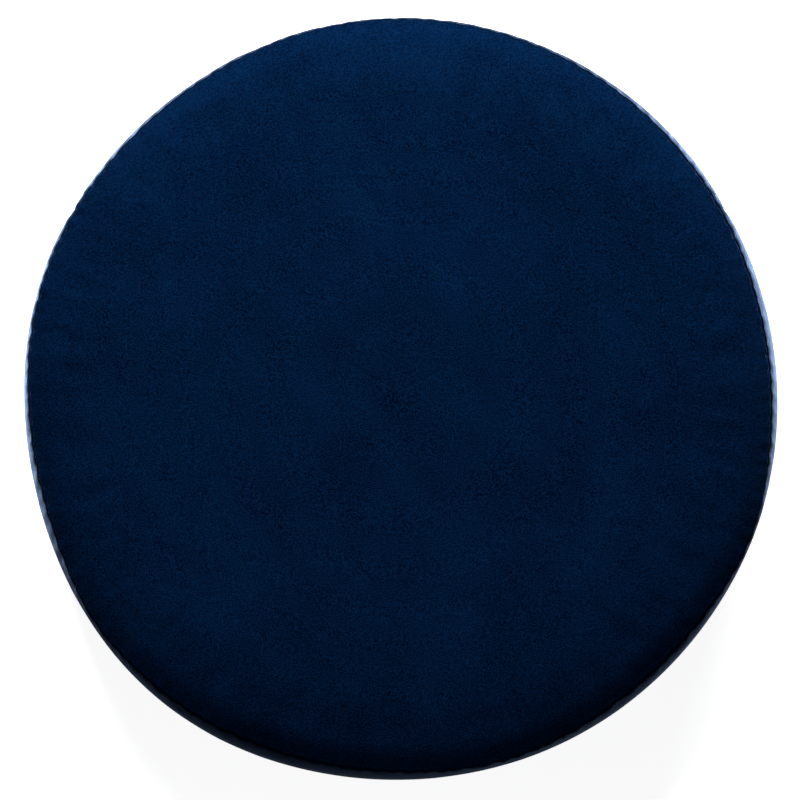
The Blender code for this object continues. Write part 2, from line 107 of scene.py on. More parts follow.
# The zip, where the frame doesn't say.
TAPE = 0.55 * MM
COIL_HALF = 1.1 * MM  # half the chain's thickness
COIL_CENTRE = TAPE_FACE + 0.2 * MM + COIL_HALF
COIL_PITCH = 1.55 * MM
WIRE = 0.33 * MM  # radius of the coils' nylon wire
COIL_OFFSET = 1.35 * MM  # from the middle of the zip to the middle of a coil
COIL_SPREAD = 0.65 * MM  # how much further apart the coils are at the slider's post
SLIDER_LENGTH = 10.5 * MM
SLIDER_FRONT, SLIDER_TAIL = 4.1 * MM, 3.5 * MM  # half widths
PLATE = 0.9 * MM
OUTER_PLATE = COIL_CENTRE + COIL_HALF + 0.3 * MM
INNER_PLATE = TAPE_FACE - 0.6 * MM - 0.5 * MM
PULL_THICKNESS = 1.0 * MM
PULL_LENGTH = 20 * MM
PULL_NECK, PULL_END = 2.7 * MM, 3.55 * MM  # half widths
GUARD_RADIUS = INNER_PLATE - PLATE - 0.2 * MM  # the dark cloth behind the zip, also painted shade through the coils, clear of the slider

# How the hand-sewn cover is out of round: swellings round it, their size and where the first one is.
OUT_OF_ROUND = ((2, 1.4, 78), (3, 0.5, -14), (4, 0.7, -31), (5, 0.5, 15), (6, 0.3, -14))

# Where the top seam wanders in (+) or out (-) from its circle: the angle, the spread and the amount.
SEAM_WANDER = (
    (14, 17, 0.9),
    (40, 14, 0.6),
    (95, 36, -1.3),
    (165, 20, -1.5),
    (216, 9, -2.0),
    (248, 11, 1.0),
    (286, 14, -2.7),
    (338, 11, -2.9),
)


# ---------------------------------------------------------------- finishes


class Value:
    """A shader value. Python's operators on it add Math nodes."""

    def __init__(self, finish, socket):
        self.finish = finish
        self.socket = socket

    def math(self, operation, *others):
        return self.finish.node("Math", {"operation": operation}, dict(enumerate((self, *others))))

    def __add__(self, other):
        return self.math("ADD", other)

    def __sub__(self, other):
        return self.math("SUBTRACT", other)

    def __rsub__(self, other):
        return self.finish.node("Math", {"operation": "SUBTRACT"}, {0: other, 1: self})

    def __mul__(self, other):
        return self.math("MULTIPLY", other)

    def __abs__(self):
        return self.math("ABSOLUTE")

    __radd__ = __add__
    __rmul__ = __mul__


class Finish:
    """A material under way: its nodes, its one Principled shader and the helpers that feed it."""

    def __init__(self, name, **constants):
        self.material = bpy.data.materials.new(name)
        self.material.use_nodes = True
        self.tree = self.material.node_tree
        self.shader = self.tree.nodes["Principled BSDF"]
        sockets = {socket.name.lower().replace(" ", "_"): socket for socket in self.shader.inputs}
        for key, value in constants.items():
            self.feed(sockets[key], value)
        self.position = self.node("TexCoord", output="Object")

    def feed(self, socket, value):
        if isinstance(value, Value):
            self.tree.links.new(value.socket, socket)
        elif isinstance(value, tuple) and len(value) == 3 and socket.type == "RGBA":
            socket.default_value = (*value, 1.0)
        else:
            socket.default_value = value

    def node(self, kind, settings=None, values=None, output=None):
        """Adds a node: its settings first, then what its sockets get, and gives back one of its outputs."""
        made = self.tree.nodes.new("ShaderNode" + kind)
        for key, value in (settings or {}).items():
            setattr(made, key, value)
        for key, value in (values or {}).items():
            named = (socket for socket in made.inputs if socket.name == key and socket.enabled)
            self.feed(made.inputs[key] if isinstance(key, int) else next(named), value)
        shown = (socket for socket in made.outputs if socket.enabled and output in (None, socket.name))
        return Value(self, next(shown))

    def noise(self, size, detail=2.0, roughness=0.5, at=None, distortion=0.0):
        """Smooth noise from 0 to 1 whose lumps are about this big."""
        values = {"Vector": at or self.position, "Scale": 1 / size, "Detail": detail}
        values.update({"Roughness": roughness, "Distortion": distortion})
        return self.node("TexNoise", {"noise_dimensions": "3D"}, values, "Fac")

    def cells(self, size):
        """The distance to the middle of the nearest cell, with cells of about this size."""
        return self.node("TexVoronoi", {}, {"Vector": self.position, "Scale": 1 / size}, "Distance")

    def spread(self, value, low, high):
        """The value from low to high, stretched to run from 0 to 1 and held there."""
        return self.node("MapRange", {"clamp": True}, {"Value": value, "From Min": low, "From Max": high})

    def mix(self, share, first, second):
        settings = {"data_type": "RGBA", "clamp_factor": True}
        return self.node("Mix", settings, {"Factor": share, "A": first, "B": second})

    def axes(self):
        apart = self.tree.nodes.new("ShaderNodeSeparateXYZ")
        self.tree.links.new(self.position.socket, apart.inputs[0])
        return [Value(self, socket) for socket in apart.outputs]

    def wave(self, value, length):
        """From -1 to 1 and back each time that the value grows by this length."""
        return (value * (2 * math.pi / length)).math("SINE")

    def stretched(self, x=1.0, y=1.0, z=1.0, turn=0.0):
        """The position, squeezed along its axes, for marks that are longer one way."""
        values = {"Vector": self.position, "Scale": (x, y, z), "Rotation": (0, 0, turn)}
        return self.node("Mapping", {"vector_type": "TEXTURE"}, values)

    def relief(self, height, depth, under=None):
        """A bump of this depth, laid over another where one is given."""
        values = {"Height": height, "Distance": depth}
        if under is not None:
            values["Normal"] = under
        return self.node("Bump", {}, values)

    def press_and_shade(self, share, colour):
        """Where share is 1 the finish is matt and this colour: pile pressed flat by a seam, with painted
        shade that darkens the seam line.
        """
        # Painted shade: the flat shader is nearly black and has no sheen, for the pressed pile and the shade
        # inside the seam.
        flat = {"Base Color": colour, "Roughness": 0.95, "Specular IOR Level": 0.0}
        pile = Value(self, self.shader.outputs[0])
        mixed = self.node("MixShader", {}, {0: share, 1: pile, 2: self.node("BsdfPrincipled", {}, flat)})
        self.tree.links.new(mixed.socket, self.tree.nodes["Material Output"].inputs["Surface"])

    def paint(self, colour=None, roughness=None, relief=None):
        for name, value in (("Base Color", colour), ("Roughness", roughness), ("Normal", relief)):
            if value is not None:
                self.feed(self.shader.inputs[name], value)
        return self.material


def velvet_finish(name, sheen, spread, tint):
    """Short dense pile: almost black seen straight on, pale and bluish where it is seen from the side."""
    cloth = Finish(name, sheen_weight=sheen, sheen_roughness=spread, sheen_tint=tint, specular_ior_level=0.0)
    clouds = cloth.noise(60 * MM, detail=3.0, distortion=0.6)
    brushed = cloth.noise(1.0, detail=3.0, at=cloth.stretched(14 * MM, 38 * MM, 20 * MM, 0.5))
    pile = cloth.noise(0.65 * MM, detail=2.0, roughness=0.6)
    tufts = cloth.noise(2.6 * MM, detail=2.0)
    lie = cloth.spread(clouds * 0.65 + brushed * 0.35, 0.36, 0.64)
    speck = cloth.spread(pile, 0.41, 0.59)
    shade = lie * 0.2 + speck * 0.75 + tufts * 0.05
    colour = cloth.mix(shade, (0.0001, 0.0005, 0.003), (0.0007, 0.009, 0.0335))
    _, _, z = cloth.axes()
    # Masks along the two seams, where the pile is pressed and painted shade darkens the seam lines.
    near_top = abs(z + pile * (0.5 * MM) - TOP_SEAM)
    near_base = abs(z - pile * (0.5 * MM) - BASE_SEAM)
    pressed = cloth.spread(near_top, *TOP_SEAM_MATT_AND_SHADE)
    pressed = pressed.math("MAXIMUM", cloth.spread(near_base, *BASE_SEAM_MATT_AND_SHADE))
    # Painted shade: this near-black colour darkens the seam lines, partly pressed pile and partly the shade
    # inside the seams.
    cloth.press_and_shade(pressed, (0.0003, 0.0016, 0.006))
    nap = cloth.relief(pile, 0.16 * MM, cloth.relief(tufts, 0.12 * MM, cloth.relief(lie, 0.3 * MM)))
    return cloth.paint(colour, 0.78 + speck * 0.15, nap)


def canvas_finish():
    """Plain-woven black base cloth."""
    cloth = Finish("base_canvas", sheen_weight=0.02, sheen_roughness=0.4, specular_ior_level=0.15)
    x, y, _ = cloth.axes()
    thread = 0.9 * MM
    over = cloth.wave(x, thread) * cloth.wave(y, thread)
    rows = abs(cloth.wave(x, 2 * thread)) * 0.5 + abs(cloth.wave(y, 2 * thread)) * 0.5
    slubs = cloth.noise(1.0, detail=2.0, at=cloth.stretched(0.7 * MM, 9 * MM, 9 * MM))
    wear = cloth.noise(45 * MM, detail=4.0)
    weave = over * 0.3 + rows * 0.5 + slubs * 0.3
    shade = cloth.spread(weave + wear * 0.4, 0.1, 1.1)
    colour = cloth.mix(shade, (0.003, 0.004, 0.007), (0.014, 0.016, 0.023))
    return cloth.paint(colour, 0.75 + wear * 0.2, cloth.relief(weave, 0.12 * MM))


def grip_finish():
    """Printed silicone dots, slightly glossy and dusty."""
    gel = Finish("grip_silicone", specular_ior_level=0.5)
    dust = gel.noise(3 * MM, detail=4.0)
    colour = gel.mix(gel.spread(dust, 0.35, 0.75), (0.012, 0.013, 0.016), (0.05, 0.052, 0.056))
    return gel.paint(colour, 0.32 + dust * 0.3, gel.relief(dust, 0.03 * MM))


def thread_finish(name, dark, light):
    """Twisted polyester thread."""
    cord = Finish(name, sheen_weight=0.03, specular_ior_level=0.3)
    ply = cord.noise(1.0, detail=1.0, at=cord.stretched(0.25 * MM, 0.25 * MM, 1.2 * MM, 0.6))
    colour = cord.mix(cord.spread(ply, 0.3, 0.7), dark, light)
    return cord.paint(colour, 0.45 + ply * 0.2, cord.relief(ply, 0.06 * MM))


def tape_finish():
    """Herringbone zip tape: slanting ribs that change direction every few rows."""
    tape = Finish("zip_tape_weave", sheen_weight=0.02, specular_ior_level=0.2)
    x, y, z = tape.axes()
    along = y.math("ARCTAN2", x) * TAPE_FACE
    rib = 2.4 * MM
    slant = tape.wave(z, 2 * rib).math("ARCSINE") * (rib * 0.64)
    twill = tape.wave(along + slant, 1.1 * MM)
    fuzz = tape.noise(0.5 * MM, detail=2.0)
    colour = tape.mix(tape.spread(twill + fuzz, -0.6, 1.6), (0.0012, 0.004, 0.014), (0.004, 0.012, 0.038))
    return tape.paint(colour, 0.7 + fuzz * 0.2, tape.relief(twill * 0.5 + fuzz * 0.4, 0.09 * MM))


def nylon_finish():
    """Dyed nylon monofilament."""
    wire = Finish("zip_wire", coat_weight=0.15, specular_ior_level=0.5)
    drawn = wire.noise(0.6 * MM, detail=2.0)
    colour = wire.mix(wire.spread(drawn, 0.3, 0.7), (0.002, 0.006, 0.02), (0.006, 0.016, 0.05))
    return wire.paint(colour, 0.3 + drawn * 0.18, wire.relief(drawn, 0.02 * MM))


def nickel_finish():
    """Bright nickel plate over a zinc casting, with fine handling scratches and dull spots."""
    plate = Finish("nickel", metallic=1.0)
    cast = plate.noise(2.5 * MM, detail=4.0)
    scuffs = plate.noise(1.0, detail=3.0, at=plate.stretched(0.12 * MM, 2.5 * MM, 2.5 * MM, 0.7))
    scratch = plate.spread(scuffs, 0.62, 0.7)
    colour = plate.mix(plate.spread(cast, 0.35, 0.7), (0.46, 0.45, 0.42), (0.62, 0.60, 0.57))
    rough = 0.2 + cast * 0.14 + scratch * 0.18
    return plate.paint(colour, rough, plate.relief(cast * 0.6 - scratch * 0.4, 0.03 * MM))


def ribbon_finish():
    """Blank white satin: long floats across the ribbon, and a denser selvedge."""
    satin = Finish("satin_ribbon", sheen_weight=0.25, specular_ior_level=0.45)
    _, _, z = satin.axes()
    floats = satin.noise(1.0, detail=2.0, at=satin.stretched(1.6 * MM, 1.6 * MM, 0.18 * MM))
    warp = abs(satin.wave(z, 0.55 * MM))
    colour = satin.mix(satin.spread(floats + warp * 0.2, 0.3, 0.9), (0.20, 0.195, 0.185), (0.30, 0.295, 0.28))
    return satin.paint(colour, 0.32 + floats * 0.2, satin.relief(floats + warp * 0.5, 0.04 * MM))


def wadding_finish():
    """Loose white polyester fibre."""
    fibre = Finish("wadding_fibre", sheen_weight=0.5, sheen_roughness=0.6, subsurface_weight=0.1)
    strands = fibre.noise(1.0, detail=4.0, roughness=0.7, at=fibre.stretched(0.5 * MM, 5 * MM, 5 * MM, 0.9))
    tangle = fibre.noise(1.6 * MM, detail=5.0, roughness=0.75, distortion=2.0)
    mass = fibre.noise(22 * MM, detail=3.0)
    shade = fibre.spread(strands * 0.4 + tangle * 0.4 + mass * 0.3, 0.35, 0.75)
    colour = fibre.mix(shade, (0.62, 0.63, 0.64), (0.88, 0.88, 0.87))
    lumps = fibre.relief(mass, 1.5 * MM)
    return fibre.paint(colour, 0.9, fibre.relief(strands + tangle, 0.35 * MM, lumps))


def foam_finish(name, dark, light, cell):
    """Cut polyurethane foam: open cells of this size, each a small pit, with painted shade that darkens the
    pits.
    """
    foam = Finish(name, specular_ior_level=0.2, subsurface_weight=0.05)
    pits = foam.cells(cell)
    big = foam.cells(cell * 3.7)
    tone = foam.noise(35 * MM, detail=3.0)
    depth = foam.spread(pits, 0.1, 0.75) * 0.7 + foam.spread(big, 0.05, 0.5) * 0.3
    # Painted shade: the colour follows the pits' depth, so it is darker where each pit is deepest.
    colour = foam.mix(foam.spread(depth + tone * 0.25, 0.15, 0.95), dark, light)
    return foam.paint(colour, 0.9, foam.relief(depth, 0.35 * MM))


def jersey_finish():
    """Fine grey knit: rows of small loops."""
    knit = Finish("jersey_knit", sheen_weight=0.3, specular_ior_level=0.25)
    x, y, z = knit.axes()
    around = y.math("ARCTAN2", x) * RADIUS
    loops = abs(knit.wave(around, 2.2 * MM)) * 0.6 + abs(knit.wave(z + x * 0.5, 1.8 * MM)) * 0.4
    slub = knit.noise(8 * MM, detail=3.0)
    colour = knit.mix(knit.spread(loops + slub, 0.4, 1.4), (0.36, 0.37, 0.39), (0.58, 0.59, 0.61))
    return knit.paint(colour, 0.85, knit.relief(loops + slub * 0.3, 0.12 * MM))


def floor_finish():
    """A plain pale studio floor."""
    glow = dict(emission_color=(1.0, 1.0, 1.0), emission_strength=0.8)
    floor = Finish("studio_floor", roughness=0.9, specular_ior_level=0.1, **glow)
    tone = floor.noise(0.9, detail=2.0)
    return floor.paint(floor.mix(tone, (0.90, 0.90, 0.90), (0.93, 0.93, 0.93)))


# ---------------------------------------------------------------- mesh work


def link(name, data):
    made = bpy.data.objects.new(name, data)
    bpy.context.scene.collection.objects.link(made)
    return made


def mesh_object(name, points, faces, finish=None):
    mesh = bpy.data.meshes.new(name)
    mesh.from_pydata([tuple(point) for point in points], [], faces)
    mesh.update()
    mesh.polygons.foreach_set("use_smooth", [True] * len(mesh.polygons))
    made = link(name, mesh)
    if finish is not None:
        mesh.materials.append(finish)
    return made


def settle(obj):
    """Applies the object's modifiers to its mesh."""
    bpy.context.view_layer.update()
    graph = bpy.context.evaluated_depsgraph_get()
    mesh = bpy.data.meshes.new_from_object(obj.evaluated_get(graph), depsgraph=graph)
    obj.modifiers.clear()
    obj.data = mesh
    return obj


def thicken(obj, thickness):
    """Gives a sheet its thickness, on its inner side."""
    shell = obj.modifiers.new("thickness", "SOLIDIFY")
    shell.thickness = thickness
    shell.offset = -1
    shell.use_quality_normals = True
    return settle(obj)


def round_off(obj, width, segments=3):
    edge = obj.modifiers.new("rounding", "BEVEL")
    edge.width = width
    edge.segments = segments
    edge.limit_method = "ANGLE"
    edge.angle_limit = math.radians(35)
    return settle(obj)


def combine(body, tool, operation):
    """Joins the tool to the body, or cuts it away, and removes it."""
    step = body.modifiers.new("combine", "BOOLEAN")
    step.operation = operation
    step.object = tool
    step.solver = "EXACT"
    settle(body)
    bpy.data.objects.remove(tool)


def smooth_by_angle(obj, degrees=40):
    obj.data.polygons.foreach_set("use_smooth", [True] * len(obj.data.polygons))
    obj.data.set_sharp_from_angle(angle=math.radians(degrees))
    return obj


def to_points(radii, angles, heights):
    """Points from their distances to the middle axis, angles and heights, as arrays of one shape."""
    return np.stack([radii * np.cos(angles), radii * np.sin(angles), heights], axis=-1)


def turned_point(radius, angle, height):
    return radius * math.cos(angle), radius * math.sin(angle), height


def ring_row(radii, angles, height):
    """One row of a polar grid, all at one height."""
    return np.stack([np.broadcast_to(radii, angles.shape), angles, np.full_like(angles, height)], axis=-1)


def arc(radius, degrees, centre):
    """Flat points on a circle at each of these angles."""
    turns = [math.radians(degree) for degree in degrees]
    return [(centre[0] + radius * math.cos(turn), centre[1] + radius * math.sin(turn)) for turn in turns]


def to_polar(points, near):
    """The other way round; near holds about the angles that are wanted."""
    radii = np.hypot(points[..., 0], points[..., 1])
    angles = np.arctan2(points[..., 1], points[..., 0])
    turns = np.round((near - angles) / (2 * math.pi))
    return np.stack([radii, angles + turns * 2 * math.pi, points[..., 2]], axis=-1)


def grid_faces(rows, columns, wrap, first=0):
    """Quads between rows that run down the outside, with columns that run anticlockwise."""
    faces = []
    last = columns if wrap else columns - 1
    for row in range(rows - 1):
        for column in range(last):
            a = first + row * columns + column
            b = first + row * columns + (column + 1) % columns
            faces.append((a, a + columns, b + columns, b))
    return faces


def sheet_of(name, grid, finish, wrap=False, top=None, base=None):
    """A mesh of a polar grid [row, column, (radius, angle, height)], with a pole at either end if given."""
    rows, columns = grid.shape[:2]
    points = to_points(grid[..., 0], grid[..., 1], grid[..., 2]).reshape(-1, 3).tolist()
    faces = grid_faces(rows, columns, wrap)
    if top is not None:
        points.append((0, 0, top))
        faces += [(i, (i + 1) % columns, len(points) - 1) for i in range(columns)]
    if base is not None:
        points.append((0, 0, base))
        start = (rows - 1) * columns
        faces += [(start + (i + 1) % columns, start + i, len(points) - 1) for i in range(columns)]
    return mesh_object(name, points, faces, finish)


def extend_rows(grid, steps, at_start):
    """Adds rows past one end of a grid: each step moves the edge row by (inward, up)."""
    edge = grid[0] if at_start else grid[-1]
    added = []
    for inward, up in steps:
        row = edge.copy()
        row[:, 0] -= inward
        row[:, 2] += up
        added.append(row)
    extra = np.array(added[::-1] if at_start else added)
    return np.concatenate([extra, grid] if at_start else [grid, extra])


def extend_columns(grid, steps):
    """Turns both upright edges in: each step moves them inward, and a little away from each other."""
    first, last = [], []
    for inward, aside in steps:
        for edge, side, kept in ((grid[:, 0], 1, first), (grid[:, -1], -1, last)):
            column = edge.copy()
            column[:, 0] -= inward
            column[:, 1] += side * aside / RADIUS
            kept.append(column)
    return np.concatenate([np.stack(first[::-1], axis=1), grid, np.stack(last, axis=1)], axis=1)


def finer_columns(grid, times):
    """The same grid with each stretch between columns cut into this many."""
    count = grid.shape[1]
    places = np.linspace(0, count - 1, (count - 1) * times + 1)
    low = np.minimum(places.astype(int), count - 2)
    share = (places - low)[None, :, None]
    return grid[:, low] * (1 - share) + grid[:, low + 1] * share


def tube_mesh(name, paths, radius, sides, finish, ends=1.0):
    """Round cords along lists of points as one mesh; their ends are ends times as thick."""
    points, faces = [], []
    for path in paths:
        path = np.asarray(path, float)
        ahead = np.gradient(path, axis=0)
        ahead /= np.linalg.norm(ahead, axis=1)[:, None]
        out = path * (1, 1, 0)
        out /= np.linalg.norm(out, axis=1)[:, None]
        across = np.cross(ahead, out)
        across /= np.linalg.norm(across, axis=1)[:, None]
        out = np.cross(across, ahead)
        width = np.full(len(path), radius)
        width[0] = width[-1] = radius * ends
        first = len(points)
        for i in range(sides):
            turn = 2 * math.pi * i / sides
            ring = path + (out * math.cos(turn) + across * math.sin(turn)) * width[:, None]
            points.extend(ring.tolist())
        count = len(path)
        for i in range(sides):
            here, there = first + i * count, first + (i + 1) % sides * count
            for j in range(count - 1):
                faces.append((here + j, here + j + 1, there + j + 1, there + j))
        faces.append([first + i * count for i in range(sides)])
        faces.append([first + i * count + count - 1 for i in reversed(range(sides))])
    return mesh_object(name, points, faces, finish)


def ripple(angles, wavelength, seed):
    """An uneven wave round the cushion, about 1 high, that closes on itself."""
    rng = random.Random(seed)
    total = np.zeros_like(angles)
    waves = 14
    for _ in range(waves):
        count = round(2 * math.pi * RADIUS / wavelength * rng.uniform(0.6, 1.5))
        total += np.cos(count * angles + rng.uniform(0, 2 * math.pi))
    return total / math.sqrt(waves / 2)


def place(obj, body, node):
    """The piece rides on its body and stands for its node."""
    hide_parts(node)
    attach(obj, body)


# ---------------------------------------------------------------- the cover's form


def round_angles():
    """The angle of each column: even steps, with a few more beside the two upright seams."""
    even = np.arange(COLUMNS) * 2 * math.pi / COLUMNS
    close = [side * gap / RADIUS for side in (-1, 1) for gap in (0.7 * MM, 1.5 * MM)]
    beside = [seam + offset for seam in (ZIP_START, ZIP_END) for offset in close]
    return np.sort(np.concatenate([even, beside]))


ANGLES = round_angles()
FIRST_ZIP_COLUMN = int(np.argmin(abs(ANGLES - ZIP_START)))
LAST_ZIP_COLUMN = int(np.argmin(abs(ANGLES - ZIP_END)))


def seam_circle(angles, set_in, wander):
    """How far out a seam runs at each angle."""
    inward = np.full_like(angles, set_in)
    for centre, spread, amount in SEAM_WANDER:
        gap = (np.degrees(angles) - centre + 180) % 360 - 180
        inward += wander * amount * MM * np.exp(-((gap / spread) ** 2))
    return band_middle(angles) - np.maximum(inward, LEAST_SET_IN)


def band_middle(angles):
    """How far out the middle of the band bulges at each angle."""
    radii = np.full_like(angles, RADIUS)
    for count, amount, first in OUT_OF_ROUND:
        radii += amount * MM * np.cos(count * (angles - math.radians(first)))
    return radii


def top_seam(angles):
    return seam_circle(angles, TOP_SET_IN, 1.0)


def base_seam(angles):
    return seam_circle(angles, BASE_SET_IN, 0.35)


def groove(distance):
    """How deep the cloth is drawn in at this distance from a seam."""
    return GROOVE_DEPTH * np.exp(-abs(distance / GROOVE_WIDTH) ** 1.5)


def near_seam_steps(reach):
    """Distances from a seam: fine beside it, then wider, up to the reach."""
    steps, step = [0.0], 0.5 * MM
    while steps[-1] + step < reach:
        steps.append(steps[-1] + step)
        step = min(step * 1.3, 3 * MM)
    return np.array(steps + [reach])


def panel_rows(seam_line, seam_height, flat_height, crown, width, spacing):
    """Rows from near the middle of the top or the base panel, out over its shoulder to the seam."""
    rise = flat_height - crown - seam_height
    flat_line = seam_line - width
    rows = []
    for share in np.arange(0.06, 1.0, spacing):
        rows.append((flat_line * share, flat_height - crown * share**2))
    length = abs(rise) + width
    for distance in near_seam_steps(length)[::-1]:
        turn = SHOULDER_START + (SHOULDER_TURN - SHOULDER_START) * (1 - distance / length)
        across = math.sin(turn) - math.sin(SHOULDER_START)
        across /= math.sin(SHOULDER_TURN) - math.sin(SHOULDER_START)
        down = math.cos(SHOULDER_START) - math.cos(turn)
        down /= math.cos(SHOULDER_START) - math.cos(SHOULDER_TURN)
        radii = flat_line + width * across - groove(distance)
        rows.append((radii, flat_height - crown - rise * down))
    return rows


def band_radius(share, top_line, base_line, angles):
    """The band's face: share is 0 at its top seam and 1 at its base seam."""
    seam = top_line * (1 - share) + base_line * share
    middle = band_middle(angles)
    return seam + (middle - seam) * swell(share)


def swell(share):
    """How far the band bulges at this share of its height: 0 at its seams and 1 in its middle."""
    return np.maximum(1 - abs(2 * share - 1) ** FULLNESS, 0) ** ROUNDNESS


def fold_start(side):
    """The height where the band begins to turn round its folded edge; side is 1 above the zip."""
    edge = ZIP_HEIGHT + side * SLOT_HALF
    share = (TOP_SEAM - edge) / (TOP_SEAM - BASE_SEAM)
    face = RADIUS - BASE_SET_IN * share * (1 - swell(share))
    return edge + side * (face - RETURN_RADIUS) / 2


def band_heights():
    """Heights down the band: close together by the seams, the folded edges and the stitch lines."""
    middle = {ZIP_HEIGHT}
    for side in (1, -1):
        stitches = ZIP_HEIGHT + side * (SLOT_HALF + STITCH_LINE)
        middle |= {fold_start(side), ZIP_HEIGHT + side * 2.5 * MM, ZIP_HEIGHT + side * 5 * MM}
        middle |= {stitches + step * MM for step in (0.0, side * 0.7, side * 1.4)}
    top = TOP_SEAM - near_seam_steps(TOP_SEAM - max(middle) - 1.0 * MM)
    base = BASE_SEAM + near_seam_steps(min(middle) - BASE_SEAM - 0.6 * MM)
    return np.array(sorted(set(top) | set(base) | middle, reverse=True))


def draft_cover():
    """The cover before it is filled: a polar grid of all its rows, and the rows where its panels part."""
    top_line = top_seam(ANGLES)
    base_line = base_seam(ANGLES)
    rows = panel_rows(top_line, TOP_SEAM, THICKNESS, CROWN, SHOULDER_WIDTH, 0.05)
    grid = [ring_row(radii, ANGLES, height) for radii, height in rows]
    top_row = len(grid) - 1
    heights = band_heights()
    for height in heights[1:-1]:
        share = (TOP_SEAM - height) / (TOP_SEAM - BASE_SEAM)
        radii = band_radius(share, top_line, base_line, ANGLES)
        radii = radii - groove(TOP_SEAM - height) - groove(height - BASE_SEAM)
        grid.append(ring_row(radii - upright_grooves(), ANGLES, height))
    base_row = len(grid)
    rows = panel_rows(base_line, BASE_SEAM, BASE_LIFT, 0.0, BASE_SHOULDER_WIDTH, 0.08)[::-1]
    grid += [ring_row(radii, ANGLES, height) for radii, height in rows]
    fold_rows = [top_row + int(np.argmin(abs(heights - fold_start(side)))) for side in (1, -1)]
    return np.array(grid), top_row, base_row, fold_rows


def upright_grooves():
    """The two upright seams draw the band in."""
    total = np.zeros_like(ANGLES)
    for seam in (ZIP_START, ZIP_END):
        total += UPRIGHT_GROOVE * groove((ANGLES - seam) * RADIUS)
    return total


def pucker(grid, row, reach, amount, seed):
    """Small gathers that fade away from a seam row, on both sides of it."""
    waves = ripple(ANGLES, 11 * MM, seed)
    steps = np.hypot(np.diff(grid[:, :, 0], axis=0), np.diff(grid[:, :, 2], axis=0))
    travelled = np.concatenate([np.zeros((1, grid.shape[1])), np.cumsum(steps, axis=0)])
    distance = abs(travelled - travelled[row])
    fade = np.exp(-((distance / reach) ** 2)) * np.clip(distance / (1.5 * MM), 0, 1)
    grid[:, :, 0] += amount * fade * waves
    grid[:, :, 2] += np.where(np.arange(len(grid))[:, None] < row, 0.6, 0.0) * amount * fade * waves


def fill_out(grid, top, base, held):
    """Fills the closed cover by a cloth simulation with pressure inside; the held points stay put."""
    shape = sheet_of("cover_draft", grid, None, wrap=True, top=top, base=base)
    group = shape.vertex_groups.new(name="held")
    group.add([int(i) for i in np.flatnonzero(held)] + [held.size, held.size + 1], 1.0, "REPLACE")
    cloth = shape.modifiers.new("cloth", "CLOTH")
    settings = cloth.settings
    settings.quality = 4
    settings.mass = 0.25
    settings.tension_stiffness = settings.compression_stiffness = 18
    settings.shear_stiffness = 6
    settings.bending_stiffness = 0.6
    settings.vertex_group_mass = "held"
    settings.use_pressure = True
    settings.uniform_pressure_force = 3.0
    settings.shrink_min = -0.006
    settings.effector_weights.gravity = 0
    cloth.collision_settings.use_collision = False
    cloth.point_cache.frame_end = SIMULATED_FRAMES
    scene = bpy.context.scene
    for step in range(1, SIMULATED_FRAMES + 1):
        scene.frame_set(step)
    graph = bpy.context.evaluated_depsgraph_get()
    filled = shape.evaluated_get(graph).data
    points = np.empty(len(filled.vertices) * 3)
    filled.vertices.foreach_get("co", points)
    scene.frame_set(1)
    bpy.data.objects.remove(shape)
    return points[: grid.size].reshape(grid.shape)


def held_points(grid, top_row, base_row, fold_rows):
    """The seams, the zip's edges and the flat of the base don't move as the cover fills."""
    held = np.zeros(grid.shape[:2], bool)
    for row in (top_row, base_row):
        held[row - 1 : row + 2] = True
    held[base_row + 2 :] |= grid[base_row + 2 :, :, 2] < BASE_LIFT + 0.3 * MM
    for column in (FIRST_ZIP_COLUMN, LAST_ZIP_COLUMN):
        held[top_row : base_row + 1, column - 1 : column + 2] = True
    held[fold_rows[0] - 1 : fold_rows[1] + 2, FIRST_ZIP_COLUMN : LAST_ZIP_COLUMN + 1] = True
    return held


def make_cover_grid():
    grid, top_row, base_row, fold_rows = draft_cover()
    pucker(grid, top_row, 7 * MM, 0.16 * MM, seed=5)
    pucker(grid, base_row, 8 * MM, 0.3 * MM, seed=6)
    draft = to_points(grid[..., 0], grid[..., 1], grid[..., 2])
    held = held_points(grid, top_row, base_row, fold_rows)
    filled = fill_out(grid, THICKNESS, BASE_LIFT, held)
    give = filled - draft
    size = np.linalg.norm(give, axis=-1, keepdims=True) + 1e-9
    give *= MOST_GIVE * np.tanh(size / MOST_GIVE) / size
    grid = to_polar(draft + give, grid[..., 1])
    return grid, top_row, base_row, fold_rows


# ---------------------------------------------------------------- the cover's panels


def turned_in(side):
    """The steps by which a seam allowance is turned in, on one side of the seam."""
    return [(inward, side * (LAYER_GAP + away)) for inward, away in ALLOWANCE]


def make_top_panel(grid, top_row, finish):
    rows = extend_rows(grid[: top_row + 1], turned_in(1), at_start=False)
    top = float(grid[0, :, 2].mean())
    panel = sheet_of("top_panel_velvet", rows, finish, wrap=True, top=top)
    thicken(panel, VELVET)
    place(panel, "cushion", "top_panel")


def make_base_panel(grid, base_row, finish):
    rows = extend_rows(grid[base_row:], turned_in(-1), at_start=True)
    panel = sheet_of("base_panel_canvas", rows, finish, wrap=True, base=BASE_LIFT)
    thicken(panel, VELVET)
    place(panel, "cushion", "base_panel")


def make_front_band(grid, top_row, base_row, finish):
    columns = list(range(LAST_ZIP_COLUMN, len(ANGLES))) + list(range(FIRST_ZIP_COLUMN + 1))
    rows = grid[top_row : base_row + 1, columns].copy()
    rows[:, len(ANGLES) - LAST_ZIP_COLUMN :, 1] += 2 * math.pi
    rows = extend_rows(rows, turned_in(-1), at_start=True)
    rows = extend_rows(rows, turned_in(1), at_start=False)
    rows = extend_columns(rows, turned_in(1))
    band = sheet_of("front_band_velvet", rows, finish)
    thicken(band, VELVET)
    place(band, "cushion", "front_band")


